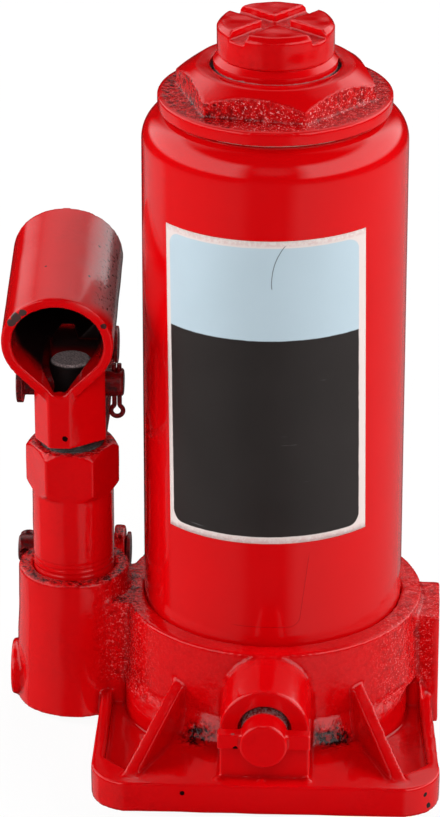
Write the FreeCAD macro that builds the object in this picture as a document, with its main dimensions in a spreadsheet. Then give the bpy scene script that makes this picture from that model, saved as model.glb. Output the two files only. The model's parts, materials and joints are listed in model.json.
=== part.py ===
import FreeCAD, Part
import math
import operator
import os
import Sketcher
from FreeCAD import Placement, Rotation, Vector

# A bottle jack: a ram in a pressure cylinder inside an oil tank, on a cast base.
# The frame has its origin on the floor under the ram, +Z up, the release valve at -Y and the pump at -X.

SIZES = [
    ("plate_half_width", 50.2, "half the width of the foot plate"),
    ("plate_waist", 2.9, "narrowing of the plate's right side towards the back"),
    ("plate_front", 69.7, "from the ram axis to the front edge of the plate"),
    ("plate_back", 48.5, "from the ram axis to the back edge of the plate"),
    ("plate_thickness", 9.4, "foot plate"),
    ("front_corner", 12.0, "radius of the front corners of the plate"),
    ("back_corner", 26.0, "radius of the back corners of the plate"),
    ("rim_width", 3.4, "raised rim along each side of the plate"),
    ("pocket_depth", 4.4, "recess beside each diagonal rib"),
    ("scoop_top", 15.5, "top of that recess where it cuts the collar's foot"),
    ("scoop_width", 3.6, "width of that recess at its back end"),
    ("scoop_round", 30.0, "curve of that recess along the collar"),
    ("rib_thickness", 4.2, "diagonal ribs"),
    ("rib_root_height", 26.0, "top of a rib where it meets the collar"),
    ("rib_spread", 36.5, "ribs around the collar from the front, degrees"),
    ("rib_inset", 11.2, "from the plate's side to the front end of a rib"),
    ("rib_end_gap", 3.7, "from the plate's front to the front end of a rib"),
    ("collar_height", 38.2, "top of the collar above the floor"),
    ("collar_wall", 6.1, "collar around the tank seat"),
    ("collar_flare", 3.0, "flare at the foot of the collar"),
    ("flare_height", 8.0, "flare at the foot of the collar, above the plate"),
    ("casting_draft", 1.5, "draft of the cast sides, degrees"),
    ("seat_depth", 5.0, "depth of the tank seat in the collar"),
    ("seat_fit", 0.05, "radial clearance of parts seated in the base"),
    ("gasket_thickness", 1.2, "gaskets under the tank and the cylinder"),
    ("tank_radius", 38.0, "outside of the oil tank"),
    ("tank_wall", 2.5, "wall of the oil tank"),
    ("tank_length", 155.5, "oil tank from end to end"),
    ("shoulder_radius", 9.0, "rolled shoulder of the tank"),
    ("neck_radius", 27.0, "hole in the top of the tank"),
    ("filler_radius", 4.6, "filler hole in the back of the tank"),
    ("filler_drop", 32.0, "filler hole below the top of the tank"),
    ("top_gasket_thickness", 0.8, "gasket under the nut's flange"),
    ("top_gasket_width", 4.2, "gasket under the nut's flange"),
    ("flange_radius", 33.4, "flange of the top nut"),
    ("flange_thickness", 4.0, "flange of the top nut"),
    ("hex_across", 50.5, "top nut across flats"),
    ("hex_height", 8.8, "hexagon of the top nut"),
    ("hex_turn", -11.5, "turn of the nut's hexagon, degrees"),
    ("crown_radius", 22.5, "flat crown inside the nut's chamfer"),
    ("crown_drop", 4.7, "depth of the nut's chamfer at its corners"),
    ("spigot_length", 12.0, "nut's sleeve below its flange"),
    ("spigot_gap", 0.2, "nut's sleeve inside the tank's neck"),
    ("shoulder_drop", 1.0, "nut's inner shoulder below the top of its flange"),
    ("lip_gap", 0.9, "gap around the ram at the top of the nut"),
    ("lip_height", 2.0, "lip that holds the wiper in the nut"),
    ("wiper_height", 4.0, "wiper ring"),
    ("wiper_width", 2.6, "wiper ring"),
    ("cylinder_radius", 23.5, "outside of the pressure cylinder"),
    ("cylinder_wall", 4.0, "pressure cylinder"),
    ("cylinder_seat_depth", 4.0, "cylinder's seat below the tank's seat"),
    ("ram_radius", 17.6, "ram"),
    ("running_fit", 0.05, "radial clearance of sliding and turning parts"),
    ("ram_rise", 2.8, "ram above the nut"),
    ("ram_bevel", 1.6, "bevel at the top of the ram"),
    ("ram_floor_gap", 1.0, "under the ram at rest"),
    ("piston_height", 20.0, "guide at the foot of the ram"),
    ("seal_height", 8.0, "ram seal"),
    ("backup_height", 2.5, "backup ring of the ram seal"),
    ("retainer_height", 2.2, "washer under the ram seal"),
    ("snap_height", 1.5, "ring that holds the washer"),
    ("snap_depth", 1.2, "groove of that ring"),
    ("snap_foot", 1.4, "spigot of the ram below that groove"),
    ("seal_width", 5.0, "ram seal from the spigot to the bore"),
    ("saddle_radius", 16.6, "saddle head of the extension screw"),
    ("saddle_height", 9.7, "saddle head"),
    ("saddle_bevel", 1.4, "rim of the saddle head"),
    ("saddle_groove_width", 5.6, "crossed grooves in the saddle"),
    ("saddle_groove_depth", 2.6, "crossed grooves in the saddle"),
    ("saddle_turn", 50.0, "turn of the crossed grooves, degrees"),
    ("screw_radius", 12.0, "extension screw"),
    ("screw_length", 102.0, "extension screw below its head"),
    ("screw_travel", 70.0, "rise of the extension screw"),
    ("stop_height", 2.4, "stop ring of the extension screw"),
    ("stop_width", 1.4, "stop ring outside the screw"),
    ("stop_foot", 2.0, "screw below its stop ring"),
    ("pump_gap", 9.0, "between the tank and the pump barrel"),
    ("barrel_radius", 12.0, "pump barrel"),
    ("barrel_seat", 24.0, "bottom of the barrel's hole above the floor"),
    ("barrel_hex_across", 24.0, "pump barrel's head across flats"),
    ("barrel_hex_height", 15.0, "pump barrel's head"),
    ("barrel_clearance", 3.0, "between the pump barrel and the bracket at rest"),
    ("barrel_bevel", 1.9, "chamfer of the barrel's head"),
    ("washer_height", 1.2, "copper washer under the barrel"),
    ("boss_foot", 1.6, "underside of the pump boss above the floor"),
    ("boss_radius", 17.5, "pump boss at its foot"),
    ("boss_height", 45.0, "top of the pump boss above the floor"),
    ("web_half_width", 13.5, "web between the pump boss and the collar"),
    ("plunger_radius", 6.25, "pump plunger"),
    ("plunger_foot", 29.0, "foot of the plunger above the floor at rest"),
    ("plunger_head", 7.4, "plunger above its pin"),
    ("plunger_bevel", 1.0, "chamfer at the top of the plunger"),
    ("packing_width", 2.8, "packing around the plunger"),
    ("packing_height", 6.0, "packing around the plunger"),
    ("gland_height", 3.0, "gland over the packing"),
    ("plunger_seal_width", 1.5, "seal ring near the foot of the plunger"),
    ("pivot_height", 103.7, "plunger pin above the floor at rest"),
    ("pivot_reach", 27.0, "from the plunger pin back to the link pin"),
    ("pin_radius", 4.2, "pins of the linkage"),
    ("pin_head_radius", 6.5, "pin heads"),
    ("pin_head", 2.0, "pin heads"),
    ("flat_head_radius", 5.6, "heads of the pins at the ends of the link"),
    ("flat_head", 1.2, "heads of the pins at the ends of the link"),
    ("pin_tail", 5.0, "pin beyond the plate that it holds"),
    ("plunger_pin_slack", 3.4, "plunger pin's head from the bracket"),
    ("pin_bevel", 0.6, "chamfer at the end of a pin"),
    ("cotter_radius", 0.7, "one leg of a cotter pin"),
    ("cotter_eye", 1.75, "eye of a cotter pin, to the middle of its wire"),
    ("cotter_neck", 3.2, "straight legs between a pin and the eye of its cotter pin"),
    ("cotter_bend", 1.2, "bends between the eye and the legs of a cotter pin"),
    ("cotter_tail", 1.6, "cotter pin beyond the pin that it holds"),
    ("socket_tilt", 12.5, "handle socket, nose down at rest, degrees"),
    ("socket_bore", 13.2, "radius of the handle's bore"),
    ("socket_wall", 3.0, "pressed sheet of the socket"),
    ("socket_rise", 21.8, "bore axis above the plunger pin"),
    ("socket_nose", 12.4, "socket's mouth in front of the plunger pin"),
    ("socket_length", 46.4, "socket tube"),
    ("socket_offset", 2.6, "socket tube from the middle of its bracket, to the left"),
    ("socket_back", 2.5, "wall at the back of the socket, where the handle stops"),
    ("seam_width", 1.2, "open seam at the top of that wall"),
    ("seam_height", 5.0, "open seam at the top of that wall"),
    ("spout_half_width", 3.1, "half the width of the spout under the mouth"),
    ("spout_height", 1.0, "tip of the spout above the plunger pin"),
    ("bracket_half_width", 10.4, "half the width of the bracket"),
    ("bracket_wall", 2.4, "pressed sheet of the bracket"),
    ("bracket_front", 13.6, "front of the bracket from the plunger pin"),
    ("bracket_flare", 6.5, "where the bracket has its full width, in front of the pin"),
    ("bracket_drop", 15.7, "bracket below the plunger pin"),
    ("bracket_back", 10.0, "back of the bracket's foot from the plunger pin"),
    ("ear_round", 7.8, "bracket around the link pin"),
    ("side_play", 0.4, "between the link and the plates beside it"),
    ("anchor_height", 37.0, "anchor pin above the floor"),
    ("anchor_back", 24.4, "anchor pin behind the pump"),
    ("lug_gap", 10.3, "half the gap between the clevis lugs"),
    ("lug_thickness", 3.4, "clevis lugs"),
    ("lug_round", 7.6, "clevis lugs around the anchor pin"),
    ("lug_foot", 17.0, "clevis lugs from the anchor pin down to their root"),
    ("link_round", 6.2, "link around its pins"),
    ("slot_reach", 1.7, "length added to the link's upper hole"),
    ("slot_play", 0.45, "clearance around the pin in the link's upper hole"),
    ("slot_drop", 0.28, "link's upper hole below its pin at rest"),
    ("valve_height", 24.6, "release valve above the floor"),
    ("valve_boss_radius", 12.9, "boss around the release valve"),
    ("valve_boss_front", 65.0, "front of that boss from the ram axis"),
    ("valve_radius", 6.75, "release valve"),
    ("valve_bore_depth", 25.0, "release valve's hole"),
    ("valve_stand", 9.2, "release valve in front of its boss"),
    ("valve_bevel", 0.3, "chamfer around the face of the release valve"),
    ("valve_mouth", 0.9, "gap around the release valve at the mouth of its hole"),
    ("valve_mouth_depth", 4.0, "depth of that gap"),
    ("valve_seal_width", 1.6, "release valve's sealing ring"),
    ("valve_seal_back", 14.0, "sealing ring behind the front of the boss"),
    ("wing_span", 26.5, "wings of the release valve"),
    ("wing_height", 4.7, "wings of the release valve"),
    ("wing_depth", 4.0, "wings of the release valve"),
    ("wing_set", 2.6, "wings behind the face of the release valve"),
    ("release_travel", 2.2, "release valve when it is open"),
    ("ball_radius", 3.0, "valve balls"),
    ("ball_play", 0.02, "ball from its seat"),
    ("port_radius", 1.6, "drilled port under a ball"),
    ("port_depth", 5.0, "drilled port under a ball"),
    ("chamber_radius", 4.2, "drilled chamber of a ball"),
    ("suction_depth", 7.0, "suction chamber below the barrel's seat"),
    ("plug_height", 9.6, "discharge valve's plug above the floor"),
    ("plug_boss_radius", 8.4, "boss around the discharge valve"),
    ("plug_boss_end", 19.0, "end of that boss from the pump axis"),
    ("plug_bore_depth", 20.0, "discharge valve's hole"),
    ("plug_length", 8.0, "discharge valve's plug"),
    ("pad_end", 49.6, "face of the safety valve's pad from the ram axis"),
    ("pad_half_width", 12.0, "safety valve's pad"),
    ("pad_height", 35.0, "top of that pad above the floor"),
    ("safety_height", 17.0, "safety valve above the floor"),
    ("safety_bore_depth", 24.0, "safety valve's hole"),
    ("safety_screw_length", 9.0, "safety valve's adjusting screw"),
    ("slot_width", 1.6, "screwdriver slots"),
    ("slot_depth", 1.8, "screwdriver slots"),
    ("screw_recess", 0.8, "plug and adjusting screw inside their mouths"),
    ("spring_wire", 0.55, "radius of the valve springs' wire"),
    ("spring_turns", 4.0, "turns of a valve spring"),
    ("spring_play", 0.1, "valve springs at their ends"),
    ("plug_flange", 7.4, "filler plug's flange"),
    ("plug_flange_height", 2.4, "filler plug's flange"),
    ("plug_stem", 5.0, "filler plug inside the tank"),
    ("plug_bead", 0.9, "bead that holds the filler plug"),
]

SAFE_MARGIN = 1.0
TINY = 1e-6
HALF_TURN = object()
EYE_DOWN = Rotation(Vector(0, 1, 0), 180)
EYE_BACK = Rotation(Vector(1, 0, 0), -90)
HEAD_LEFT = Rotation()
HEAD_RIGHT = Rotation(Vector(0, 0, 1), 180)
HEX_TO_CORNER = 2.0 / math.sqrt(3.0)
OPERATIONS = {"+": operator.add, "-": operator.sub, "*": operator.mul, "/": operator.truediv}


class Size:
    """A length with its value and the sheet expression that gives it."""

    def __init__(self, value, text):
        self.value = float(value)
        self.text = text

    def __add__(self, other):
        return join(self, "+", other)

    def __radd__(self, other):
        return join(other, "+", self)

    def __sub__(self, other):
        return join(self, "-", other)

    def __rsub__(self, other):
        return join(other, "-", self)

    def __mul__(self, other):
        return join(self, "*", other)

    def __rmul__(self, other):
        return join(other, "*", self)

    def __truediv__(self, other):
        return join(self, "/", other)

    def __neg__(self):
        return join(0, "-", self)


def as_size(thing):
    if isinstance(thing, Size):
        return thing
    return Size(thing, f"({float(thing)!r})")


def join(first, sign, second):
    first = as_size(first)
    second = as_size(second)
    value = OPERATIONS[sign](first.value, second.value)
    return Size(value, f"({first.text} {sign} {second.text})")


def root(size):
    return Size(math.sqrt(size.value), f"sqrt({size.text})")


def turned(function, angle):
    """Sine, cosine or tangent of an angle in degrees, which is also the sheet's unit for them."""
    return Size(getattr(math, function)(math.radians(angle.value)), f"{function}({angle.text})")


class Sheet:
    """The driving dimensions, read by name."""

    def __init__(self, document):
        self.object = document.addObject("Spreadsheet::Sheet", "sizes")
        for row, (alias, value, note) in enumerate(SIZES, start=1):
            self.object.set(f"A{row}", alias)
            self.object.set(f"B{row}", str(value))
            self.object.set(f"C{row}", note)
            self.object.setAlias(f"B{row}", alias)
            setattr(self, alias, Size(value, f"sizes.{alias}"))


doc = FreeCAD.newDocument("bottle_jack")
s = Sheet(doc)
doc.recompute()
nodes = []


def bind(thing, prop, size):
    thing.setExpression(prop, as_size(size).text)


def place(thing, x=0, y=0, z=0):
    for axis, size in (("x", x), ("y", y), ("z", z)):
        bind(thing, f"Placement.Base.{axis}", size)


def new_body(name, x=0, y=0, z=0, turn=Rotation()):
    body = doc.addObject("PartDesign::Body", name)
    body.Label = name
    body.Placement = Placement(Vector(), turn)
    place(body, x, y, z)
    nodes.append(body)
    return body


def new_sketch(body, name, plane, offset=0, axis=None, angle=0):
    """A sketch on an origin plane of its body, moved along the normal and turned about an axis."""
    sketch = body.newObject("Sketcher::SketchObject", f"{body.Name}_{name}")
    support = next(f for f in body.Origin.OriginFeatures if f.Role == plane)
    sketch.AttachmentSupport = [(support, "")]
    sketch.MapMode = "FlatFace"
    if axis is not None:
        turn = as_size(angle)
        sketch.AttachmentOffset = Placement(Vector(), Rotation(axis, turn.value))
        bind(sketch, "AttachmentOffset.Rotation.Angle", turn)
    bind(sketch, "AttachmentOffset.Base.z", offset)
    return sketch


def fix(sketch, kind, size, *where):
    index = sketch.addConstraint(Sketcher.Constraint(kind, *where, size.value))
    name = f"{kind}{index}"
    sketch.renameConstraint(index, name)
    bind(sketch, f"Constraints.{name}", size)


def fix_point(sketch, geometry, end, x, y):
    fix(sketch, "DistanceX", as_size(x), -1, 1, geometry, end)
    fix(sketch, "DistanceY", as_size(y), -1, 1, geometry, end)


def arc_between(start, end, radius):
    """The short arc from start to end, counter-clockwise for a positive radius and else clockwise."""
    chord = end - start
    half = chord.Length / 2
    left = Vector(-chord.y, chord.x, 0)
    left.normalize()
    rise = math.sqrt(max(radius * radius - half * half, 0.0))
    centre = (start + end) / 2 + left * math.copysign(rise, radius)
    first, last = (start, end) if radius > 0 else (end, start)
    angles = [math.atan2(p.y - centre.y, p.x - centre.x) for p in (first, last)]
    circle = Part.Circle(centre, Vector(0, 0, 1), abs(radius))
    return Part.ArcOfCircle(circle, angles[0], angles[1])


def outline(sketch, corners):
    """A closed outline through corners (x, y) or (x, y, radius of the arc to the next corner).

    HALF_TURN in place of a radius makes a counter-clockwise half circle."""
    corners = [tuple(c if c is HALF_TURN else as_size(c) for c in corner) for corner in corners]
    points = [Vector(c[0].value, c[1].value, 0) for c in corners]
    edges = []
    for i, corner in enumerate(corners):
        start = points[i]
        end = points[(i + 1) % len(points)]
        if len(corner) == 2:
            edges.append((sketch.addGeometry(Part.LineSegment(start, end), False), 1, 2))
            continue
        radius = (end - start).Length / 2 if corner[2] is HALF_TURN else corner[2].value
        geometry = sketch.addGeometry(arc_between(start, end, radius), False)
        edges.append((geometry, 1, 2) if radius > 0 else (geometry, 2, 1))
    for i, edge in enumerate(edges):
        following = edges[(i + 1) % len(edges)]
        ends = (edge[0], edge[2], following[0], following[1])
        sketch.addConstraint(Sketcher.Constraint("Coincident", *ends))
    for i, (edge, corner) in enumerate(zip(edges, corners)):
        fix_point(sketch, edge[0], edge[1], corner[0], corner[1])
        if len(corner) == 3:
            fix_arc(sketch, edge[0], corner, corners[(i + 1) % len(corners)])


def fix_arc(sketch, geometry, corner, following):
    """Holds an arc by its radius, or a half circle by its centre between its two ends."""
    if corner[2] is not HALF_TURN:
        radius = corner[2] if corner[2].value > 0 else -corner[2]
        fix(sketch, "Radius", radius, geometry)
        return
    level = abs(following[0].value - corner[0].value) > abs(following[1].value - corner[1].value)
    kind, place_in_pair = ("DistanceY", 1) if level else ("DistanceX", 0)
    middle = (corner[place_in_pair] + following[place_in_pair]) / 2
    fix(sketch, kind, middle, -1, 1, geometry, 3)


def circle(sketch, radius, x=0, y=0):
    radius = as_size(radius)
    centre = Vector(as_size(x).value, as_size(y).value, 0)
    geometry = sketch.addGeometry(Part.Circle(centre, Vector(0, 0, 1), radius.value), False)
    fix_point(sketch, geometry, 3, x, y)
    fix(sketch, "Radius", radius, geometry)


def rectangle(sketch, left, low, right, high):
    outline(sketch, [(left, low), (right, low), (right, high), (left, high)])


def hexagon(sketch, across):
    corner = across / 2 * HEX_TO_CORNER
    turns = [math.radians(60 * k) for k in range(6)]
    outline(sketch, [(corner * math.cos(a), corner * math.sin(a)) for a in turns])


def teardrop(sketch, radius, x, height, half_tip, tip_height):
    """A round outline drawn down to a blunt tip by two tangent sides."""
    drop = height.value - tip_height.value
    reach = math.hypot(half_tip.value, drop)
    lean = math.asin(radius.value / reach) - math.atan2(half_tip.value, drop)
    centre = Vector(x.value, height.value, 0)
    across = Vector(radius.value * math.cos(lean), 0, 0)
    below = Vector(0, -radius.value * math.sin(lean), 0)
    tip_left = Vector(x.value - half_tip.value, tip_height.value, 0)
    tip_right = Vector(x.value + half_tip.value, tip_height.value, 0)
    round_part = Part.ArcOfCircle(Part.Circle(centre, Vector(0, 0, 1), radius.value), -lean, math.pi + lean)
    top = sketch.addGeometry(round_part, False)
    left = sketch.addGeometry(Part.LineSegment(centre - across + below, tip_left), False)
    foot = sketch.addGeometry(Part.LineSegment(tip_left, tip_right), False)
    right = sketch.addGeometry(Part.LineSegment(tip_right, centre + across + below), False)
    sketch.addConstraint(Sketcher.Constraint("Tangent", top, 2, left, 1))
    sketch.addConstraint(Sketcher.Constraint("Tangent", right, 2, top, 1))
    sketch.addConstraint(Sketcher.Constraint("Coincident", left, 2, foot, 1))
    sketch.addConstraint(Sketcher.Constraint("Coincident", foot, 2, right, 1))
    fix_point(sketch, top, 3, x, height)
    fix(sketch, "Radius", radius, top)
    fix_point(sketch, foot, 1, x - half_tip, tip_height)
    fix_point(sketch, foot, 2, x + half_tip, tip_height)


def feature(body, kind, name, sketch):
    made = body.newObject(f"PartDesign::{kind}", f"{body.Name}_{name}")
    made.Profile = sketch
    return made


def pad(body, name, sketch, length, back=None, symmetric=False, taper=None, reverse=False):
    made = feature(body, "Pad", name, sketch)
    bind(made, "Length", length)
    made.Reversed = reverse
    if symmetric:
        made.SideType = "Symmetric"
    if back is not None:
        made.SideType = "Two sides"
        bind(made, "Length2", back)
    if taper is not None:
        bind(made, "TaperAngle", taper)
    return made


def pocket(body, name, sketch, length, back=None, symmetric=False, reverse=False):
    made = feature(body, "Pocket", name, sketch)
    bind(made, "Length", length)
    made.Reversed = reverse
    if symmetric:
        made.SideType = "Symmetric"
    if back is not None:
        made.SideType = "Two sides"
        bind(made, "Length2", back)
    return made


def spin(body, name, corners, plane="XZ_Plane", axis="V_Axis", cut=False):
    """A turned form, or a turned cut, from half of its section."""
    sketch = new_sketch(body, f"{name}_section", plane)
    outline(sketch, corners)
    made = feature(body, "Groove" if cut else "Revolution", name, sketch)
    made.ReferenceAxis = (sketch, [axis])
    made.Angle = 360
    return made


def ring(name, inner, outer, low, height, x=0):
    """A plain ring about a vertical axis."""
    body = new_body(name, x)
    high = low + height
    spin(body, "ring", [(inner, low), (outer, low), (outer, high), (inner, high)])
    return body


def drill(body, name, plane, radius, x, y, offset, depth, reverse=False):
    sketch = new_sketch(body, name, plane, offset)
    circle(sketch, radius, x, y)
    return pocket(body, f"{name}_hole", sketch, depth, reverse=reverse)


# Heights and places that follow from the driving dimensions
collar_radius = s.tank_radius + s.seat_fit + s.collar_wall
tank_seat = s.collar_height - s.seat_depth
tank_bottom = tank_seat + s.gasket_thickness
tank_top = tank_bottom + s.tank_length
flange_bottom = tank_top + s.top_gasket_thickness
flange_top = flange_bottom + s.flange_thickness
nut_top = flange_top + s.hex_height
nut_shoulder = flange_top - s.shoulder_drop
ram_top = nut_top + s.ram_rise
saddle_top = ram_top + s.saddle_height
cylinder_seat = tank_seat - s.cylinder_seat_depth
cylinder_bottom = cylinder_seat + s.gasket_thickness
bore_radius = s.cylinder_radius - s.cylinder_wall
pump_x = -(s.tank_radius + s.pump_gap + s.barrel_radius)
barrel_bottom = s.barrel_seat + s.washer_height
barrel_top = s.pivot_height - s.bracket_drop - s.barrel_clearance
seat_rise = root(s.ball_radius * s.ball_radius - s.port_radius * s.port_radius) + s.ball_play
lug_side = s.lug_gap + s.lug_thickness
plug_face = pump_x - s.plug_boss_end


def foot_plate(body):
    wide = s.plate_half_width
    waist = wide - s.plate_waist
    front = -s.plate_front
    sketch = new_sketch(body, "plate", "XY_Plane")
    outline(sketch, [
        (s.front_corner - wide, front),
        (wide - s.front_corner, front, s.front_corner),
        (wide, front + s.front_corner),
        (waist, -s.pad_half_width),
        (waist, s.plate_back - s.back_corner, s.back_corner),
        (waist - s.back_corner, s.plate_back),
        (s.back_corner - wide, s.plate_back, s.back_corner),
        (-wide, s.plate_back - s.back_corner),
        (-wide, front + s.front_corner, s.front_corner),
    ])
    pad(body, "foot_plate", sketch, s.plate_thickness)


def rib_pocket(body, name, side, waist):
    """The recess between a side rim and its diagonal rib, scooped out of the collar's flared foot."""
    rim = s.plate_half_width - s.rim_width
    end = s.plate_half_width - s.rib_inset
    front = s.rib_end_gap - s.plate_front
    root_reach = collar_radius + s.collar_flare
    root_x = root_reach * turned("sin", s.rib_spread)
    root_y = root_reach * turned("cos", s.rib_spread)
    sketch = new_sketch(body, f"{name}_recess", "XY_Plane", s.scoop_top)
    outline(sketch, [
        (side * rim, front + s.front_corner),
        (side * (rim - waist), -s.pad_half_width),
        (side * (rim - waist - s.scoop_width), -s.pad_half_width, -side * s.scoop_round),
        (side * root_x, -root_y),
        (side * end, front + s.rib_thickness),
    ])
    pocket(body, f"{name}_pocket", sketch, s.scoop_top - s.plate_thickness + s.pocket_depth)


def diagonal_rib(body, name, side):
    root_reach = collar_radius - s.rib_thickness / 2
    root_x = root_reach * turned("sin", s.rib_spread)
    end_x = s.plate_half_width - s.rib_inset
    half = s.rib_thickness / 2
    lofted = body.newObject("PartDesign::AdditiveLoft", f"{body.Name}_{name}")
    root_sketch = new_sketch(body, f"{name}_root", "XZ_Plane", root_reach * turned("cos", s.rib_spread))
    rectangle(root_sketch, side * root_x - half, 0, side * root_x + half, s.rib_root_height)
    end_sketch = new_sketch(body, f"{name}_end", "XZ_Plane", s.plate_front - s.rib_end_gap)
    rectangle(end_sketch, side * end_x - half, 0, side * end_x + half, s.plate_thickness)
    lofted.Profile = root_sketch
    lofted.Sections = [end_sketch]
    lofted.Ruled = True


def clevis_lug(body, name, side):
    """One of the two upright lugs that hold the anchor pin behind the pump."""
    low = s.anchor_height - s.lug_foot
    middle = pump_x + side * (s.lug_gap + s.lug_thickness / 2)
    sketch = new_sketch(body, name, "YZ_Plane", middle)
    outline(sketch, [
        (0, low),
        (s.anchor_back - s.lug_round / 2, low),
        (s.anchor_back + s.lug_round, s.anchor_height - s.lug_round),
        (s.anchor_back + s.lug_round, s.anchor_height, HALF_TURN),
        (s.anchor_back - s.lug_round, s.anchor_height),
        (0, s.anchor_height),
    ])
    pad(body, f"{name}_lug", sketch, s.lug_thickness, symmetric=True)


def base_casting():
    body = new_body("base_casting")
    foot_plate(body)
    flare_top = s.plate_thickness + s.flare_height
    wall = collar_radius + (s.collar_height - flare_top) * turned("tan", s.casting_draft)
    spin(body, "collar", [
        (0, 0),
        (wall + s.collar_flare, 0),
        (wall + s.collar_flare, s.plate_thickness),
        (wall, flare_top),
        (collar_radius, s.collar_height),
        (0, s.collar_height),
    ])
    rib_pocket(body, "left", -1, 0)
    rib_pocket(body, "right", 1, s.plate_waist)
    boss = new_sketch(body, "boss", "XY_Plane", s.boss_foot)
    circle(boss, s.boss_radius, pump_x, 0)
    pad(body, "pump_boss", boss, s.boss_height - s.boss_foot, taper=-s.casting_draft)
    web = new_sketch(body, "web", "XY_Plane", s.boss_foot)
    rectangle(web, pump_x, -s.web_half_width, -s.tank_radius / 2, s.web_half_width)
    pad(body, "pump_web", web, s.collar_height - s.boss_foot)
    plug_boss = new_sketch(body, "plug_end", "YZ_Plane", plug_face)
    circle(plug_boss, s.plug_boss_radius, 0, s.plug_height)
    pad(body, "plug_boss", plug_boss, s.plug_boss_end)
    pad_sketch = new_sketch(body, "pad", "XY_Plane")
    rectangle(pad_sketch, s.tank_radius / 2, -s.pad_half_width, s.pad_end, s.pad_half_width)
    pad(body, "safety_pad", pad_sketch, s.pad_height)
    arch = new_sketch(body, "arch", "XZ_Plane")
    outline(arch, [
        (-s.valve_boss_radius, 0),
        (s.valve_boss_radius, 0),
        (s.valve_boss_radius, s.valve_height, HALF_TURN),
        (-s.valve_boss_radius, s.valve_height),
    ])
    pad(body, "valve_boss", arch, s.valve_boss_front)
    for name, side in (("left", -1), ("right", 1)):
        diagonal_rib(body, f"{name}_rib", side)
        clevis_lug(body, f"{name}_clevis", side)
    bore_base(body)
    return body


def bore_base(body):
    """Seats and valve chambers in the base casting."""
    seats = (
        ("tank_seat", s.tank_radius + s.seat_fit, 0, s.collar_height, s.seat_depth),
        ("cylinder_seat", s.cylinder_radius + s.seat_fit, 0, tank_seat, s.cylinder_seat_depth),
        ("barrel_seat", s.barrel_radius + s.seat_fit, pump_x, s.boss_height, s.boss_height - s.barrel_seat),
        ("suction", s.chamber_radius, pump_x, s.barrel_seat, s.suction_depth),
        ("suction_port", s.port_radius, pump_x, s.barrel_seat - s.suction_depth, s.port_depth),
    )
    for name, radius, x, top, depth in seats:
        drill(body, name, "XY_Plane", radius, x, 0, top, depth)
    drill(body, "anchor", "YZ_Plane", s.pin_radius + s.running_fit, s.anchor_back, s.anchor_height,
          pump_x - lug_side - SAFE_MARGIN, 2 * (lug_side + SAFE_MARGIN), reverse=True)
    drill(body, "plug", "YZ_Plane", s.chamber_radius, 0, s.plug_height,
          plug_face, s.plug_bore_depth, reverse=True)
    drill(body, "plug_port", "YZ_Plane", s.port_radius, 0, s.plug_height,
          plug_face + s.plug_bore_depth, s.port_depth, reverse=True)
    drill(body, "safety", "YZ_Plane", s.chamber_radius, 0, s.safety_height, s.pad_end, s.safety_bore_depth)
    drill(body, "safety_port", "YZ_Plane", s.port_radius, 0, s.safety_height,
          s.pad_end - s.safety_bore_depth, s.port_depth)
    valve_floor = s.valve_boss_front - s.valve_bore_depth
    chamber_floor = valve_floor - 2 * s.ball_radius
    drill(body, "valve", "XZ_Plane", s.valve_radius + s.running_fit, 0, s.valve_height,
          s.valve_boss_front, s.valve_bore_depth)
    drill(body, "valve_mouth", "XZ_Plane", s.valve_radius + s.valve_mouth, 0, s.valve_height,
          s.valve_boss_front, s.valve_mouth_depth)
    drill(body, "release", "XZ_Plane", s.chamber_radius, 0, s.valve_height, valve_floor, 2 * s.ball_radius)
    drill(body, "release_port", "XZ_Plane", s.port_radius, 0, s.valve_height, chamber_floor, s.port_depth)


def oil_tank():
    body = new_body("oil_tank")
    inner = s.tank_radius - s.tank_wall
    bend = s.tank_radius - s.shoulder_radius
    spin(body, "shell", [
        (inner, tank_bottom),
        (s.tank_radius, tank_bottom),
        (s.tank_radius, tank_top - s.shoulder_radius, s.shoulder_radius),
        (bend, tank_top),
        (0, tank_top),
        (0, tank_top - s.tank_wall),
        (bend, tank_top - s.tank_wall, s.tank_wall - s.shoulder_radius),
        (inner, tank_top - s.shoulder_radius),
    ])
    drill(body, "neck", "XY_Plane", s.neck_radius, 0, 0, tank_top + SAFE_MARGIN, s.shoulder_radius + SAFE_MARGIN)
    drill(body, "filler", "XZ_Plane", s.filler_radius, 0, tank_top - s.filler_drop,
          -s.tank_radius - SAFE_MARGIN, s.tank_radius, reverse=True)
    return body


def filler_plug():
    """A rubber plug pushed into the back of the tank."""
    body = new_body("filler_plug", 0, s.tank_radius, tank_top - s.filler_drop)
    stem = s.filler_radius - s.running_fit
    bead = stem + s.plug_bead
    sagitta = bead * bead / (s.tank_radius - s.tank_wall) / 2
    crown = s.plug_flange_height
    inside = -s.tank_wall - sagitta - s.seat_fit
    spin(body, "plug", [
        (0, inside - s.plug_stem),
        (stem - s.plug_bead, inside - s.plug_stem),
        (bead, inside - s.plug_bead),
        (bead, inside),
        (stem, inside),
        (stem, 0),
        (s.plug_flange, 0),
        (s.plug_flange, crown / 2),
        (s.plug_flange - crown / 2, crown),
        (0, crown),
    ], plane="XY_Plane")
    return body


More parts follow.
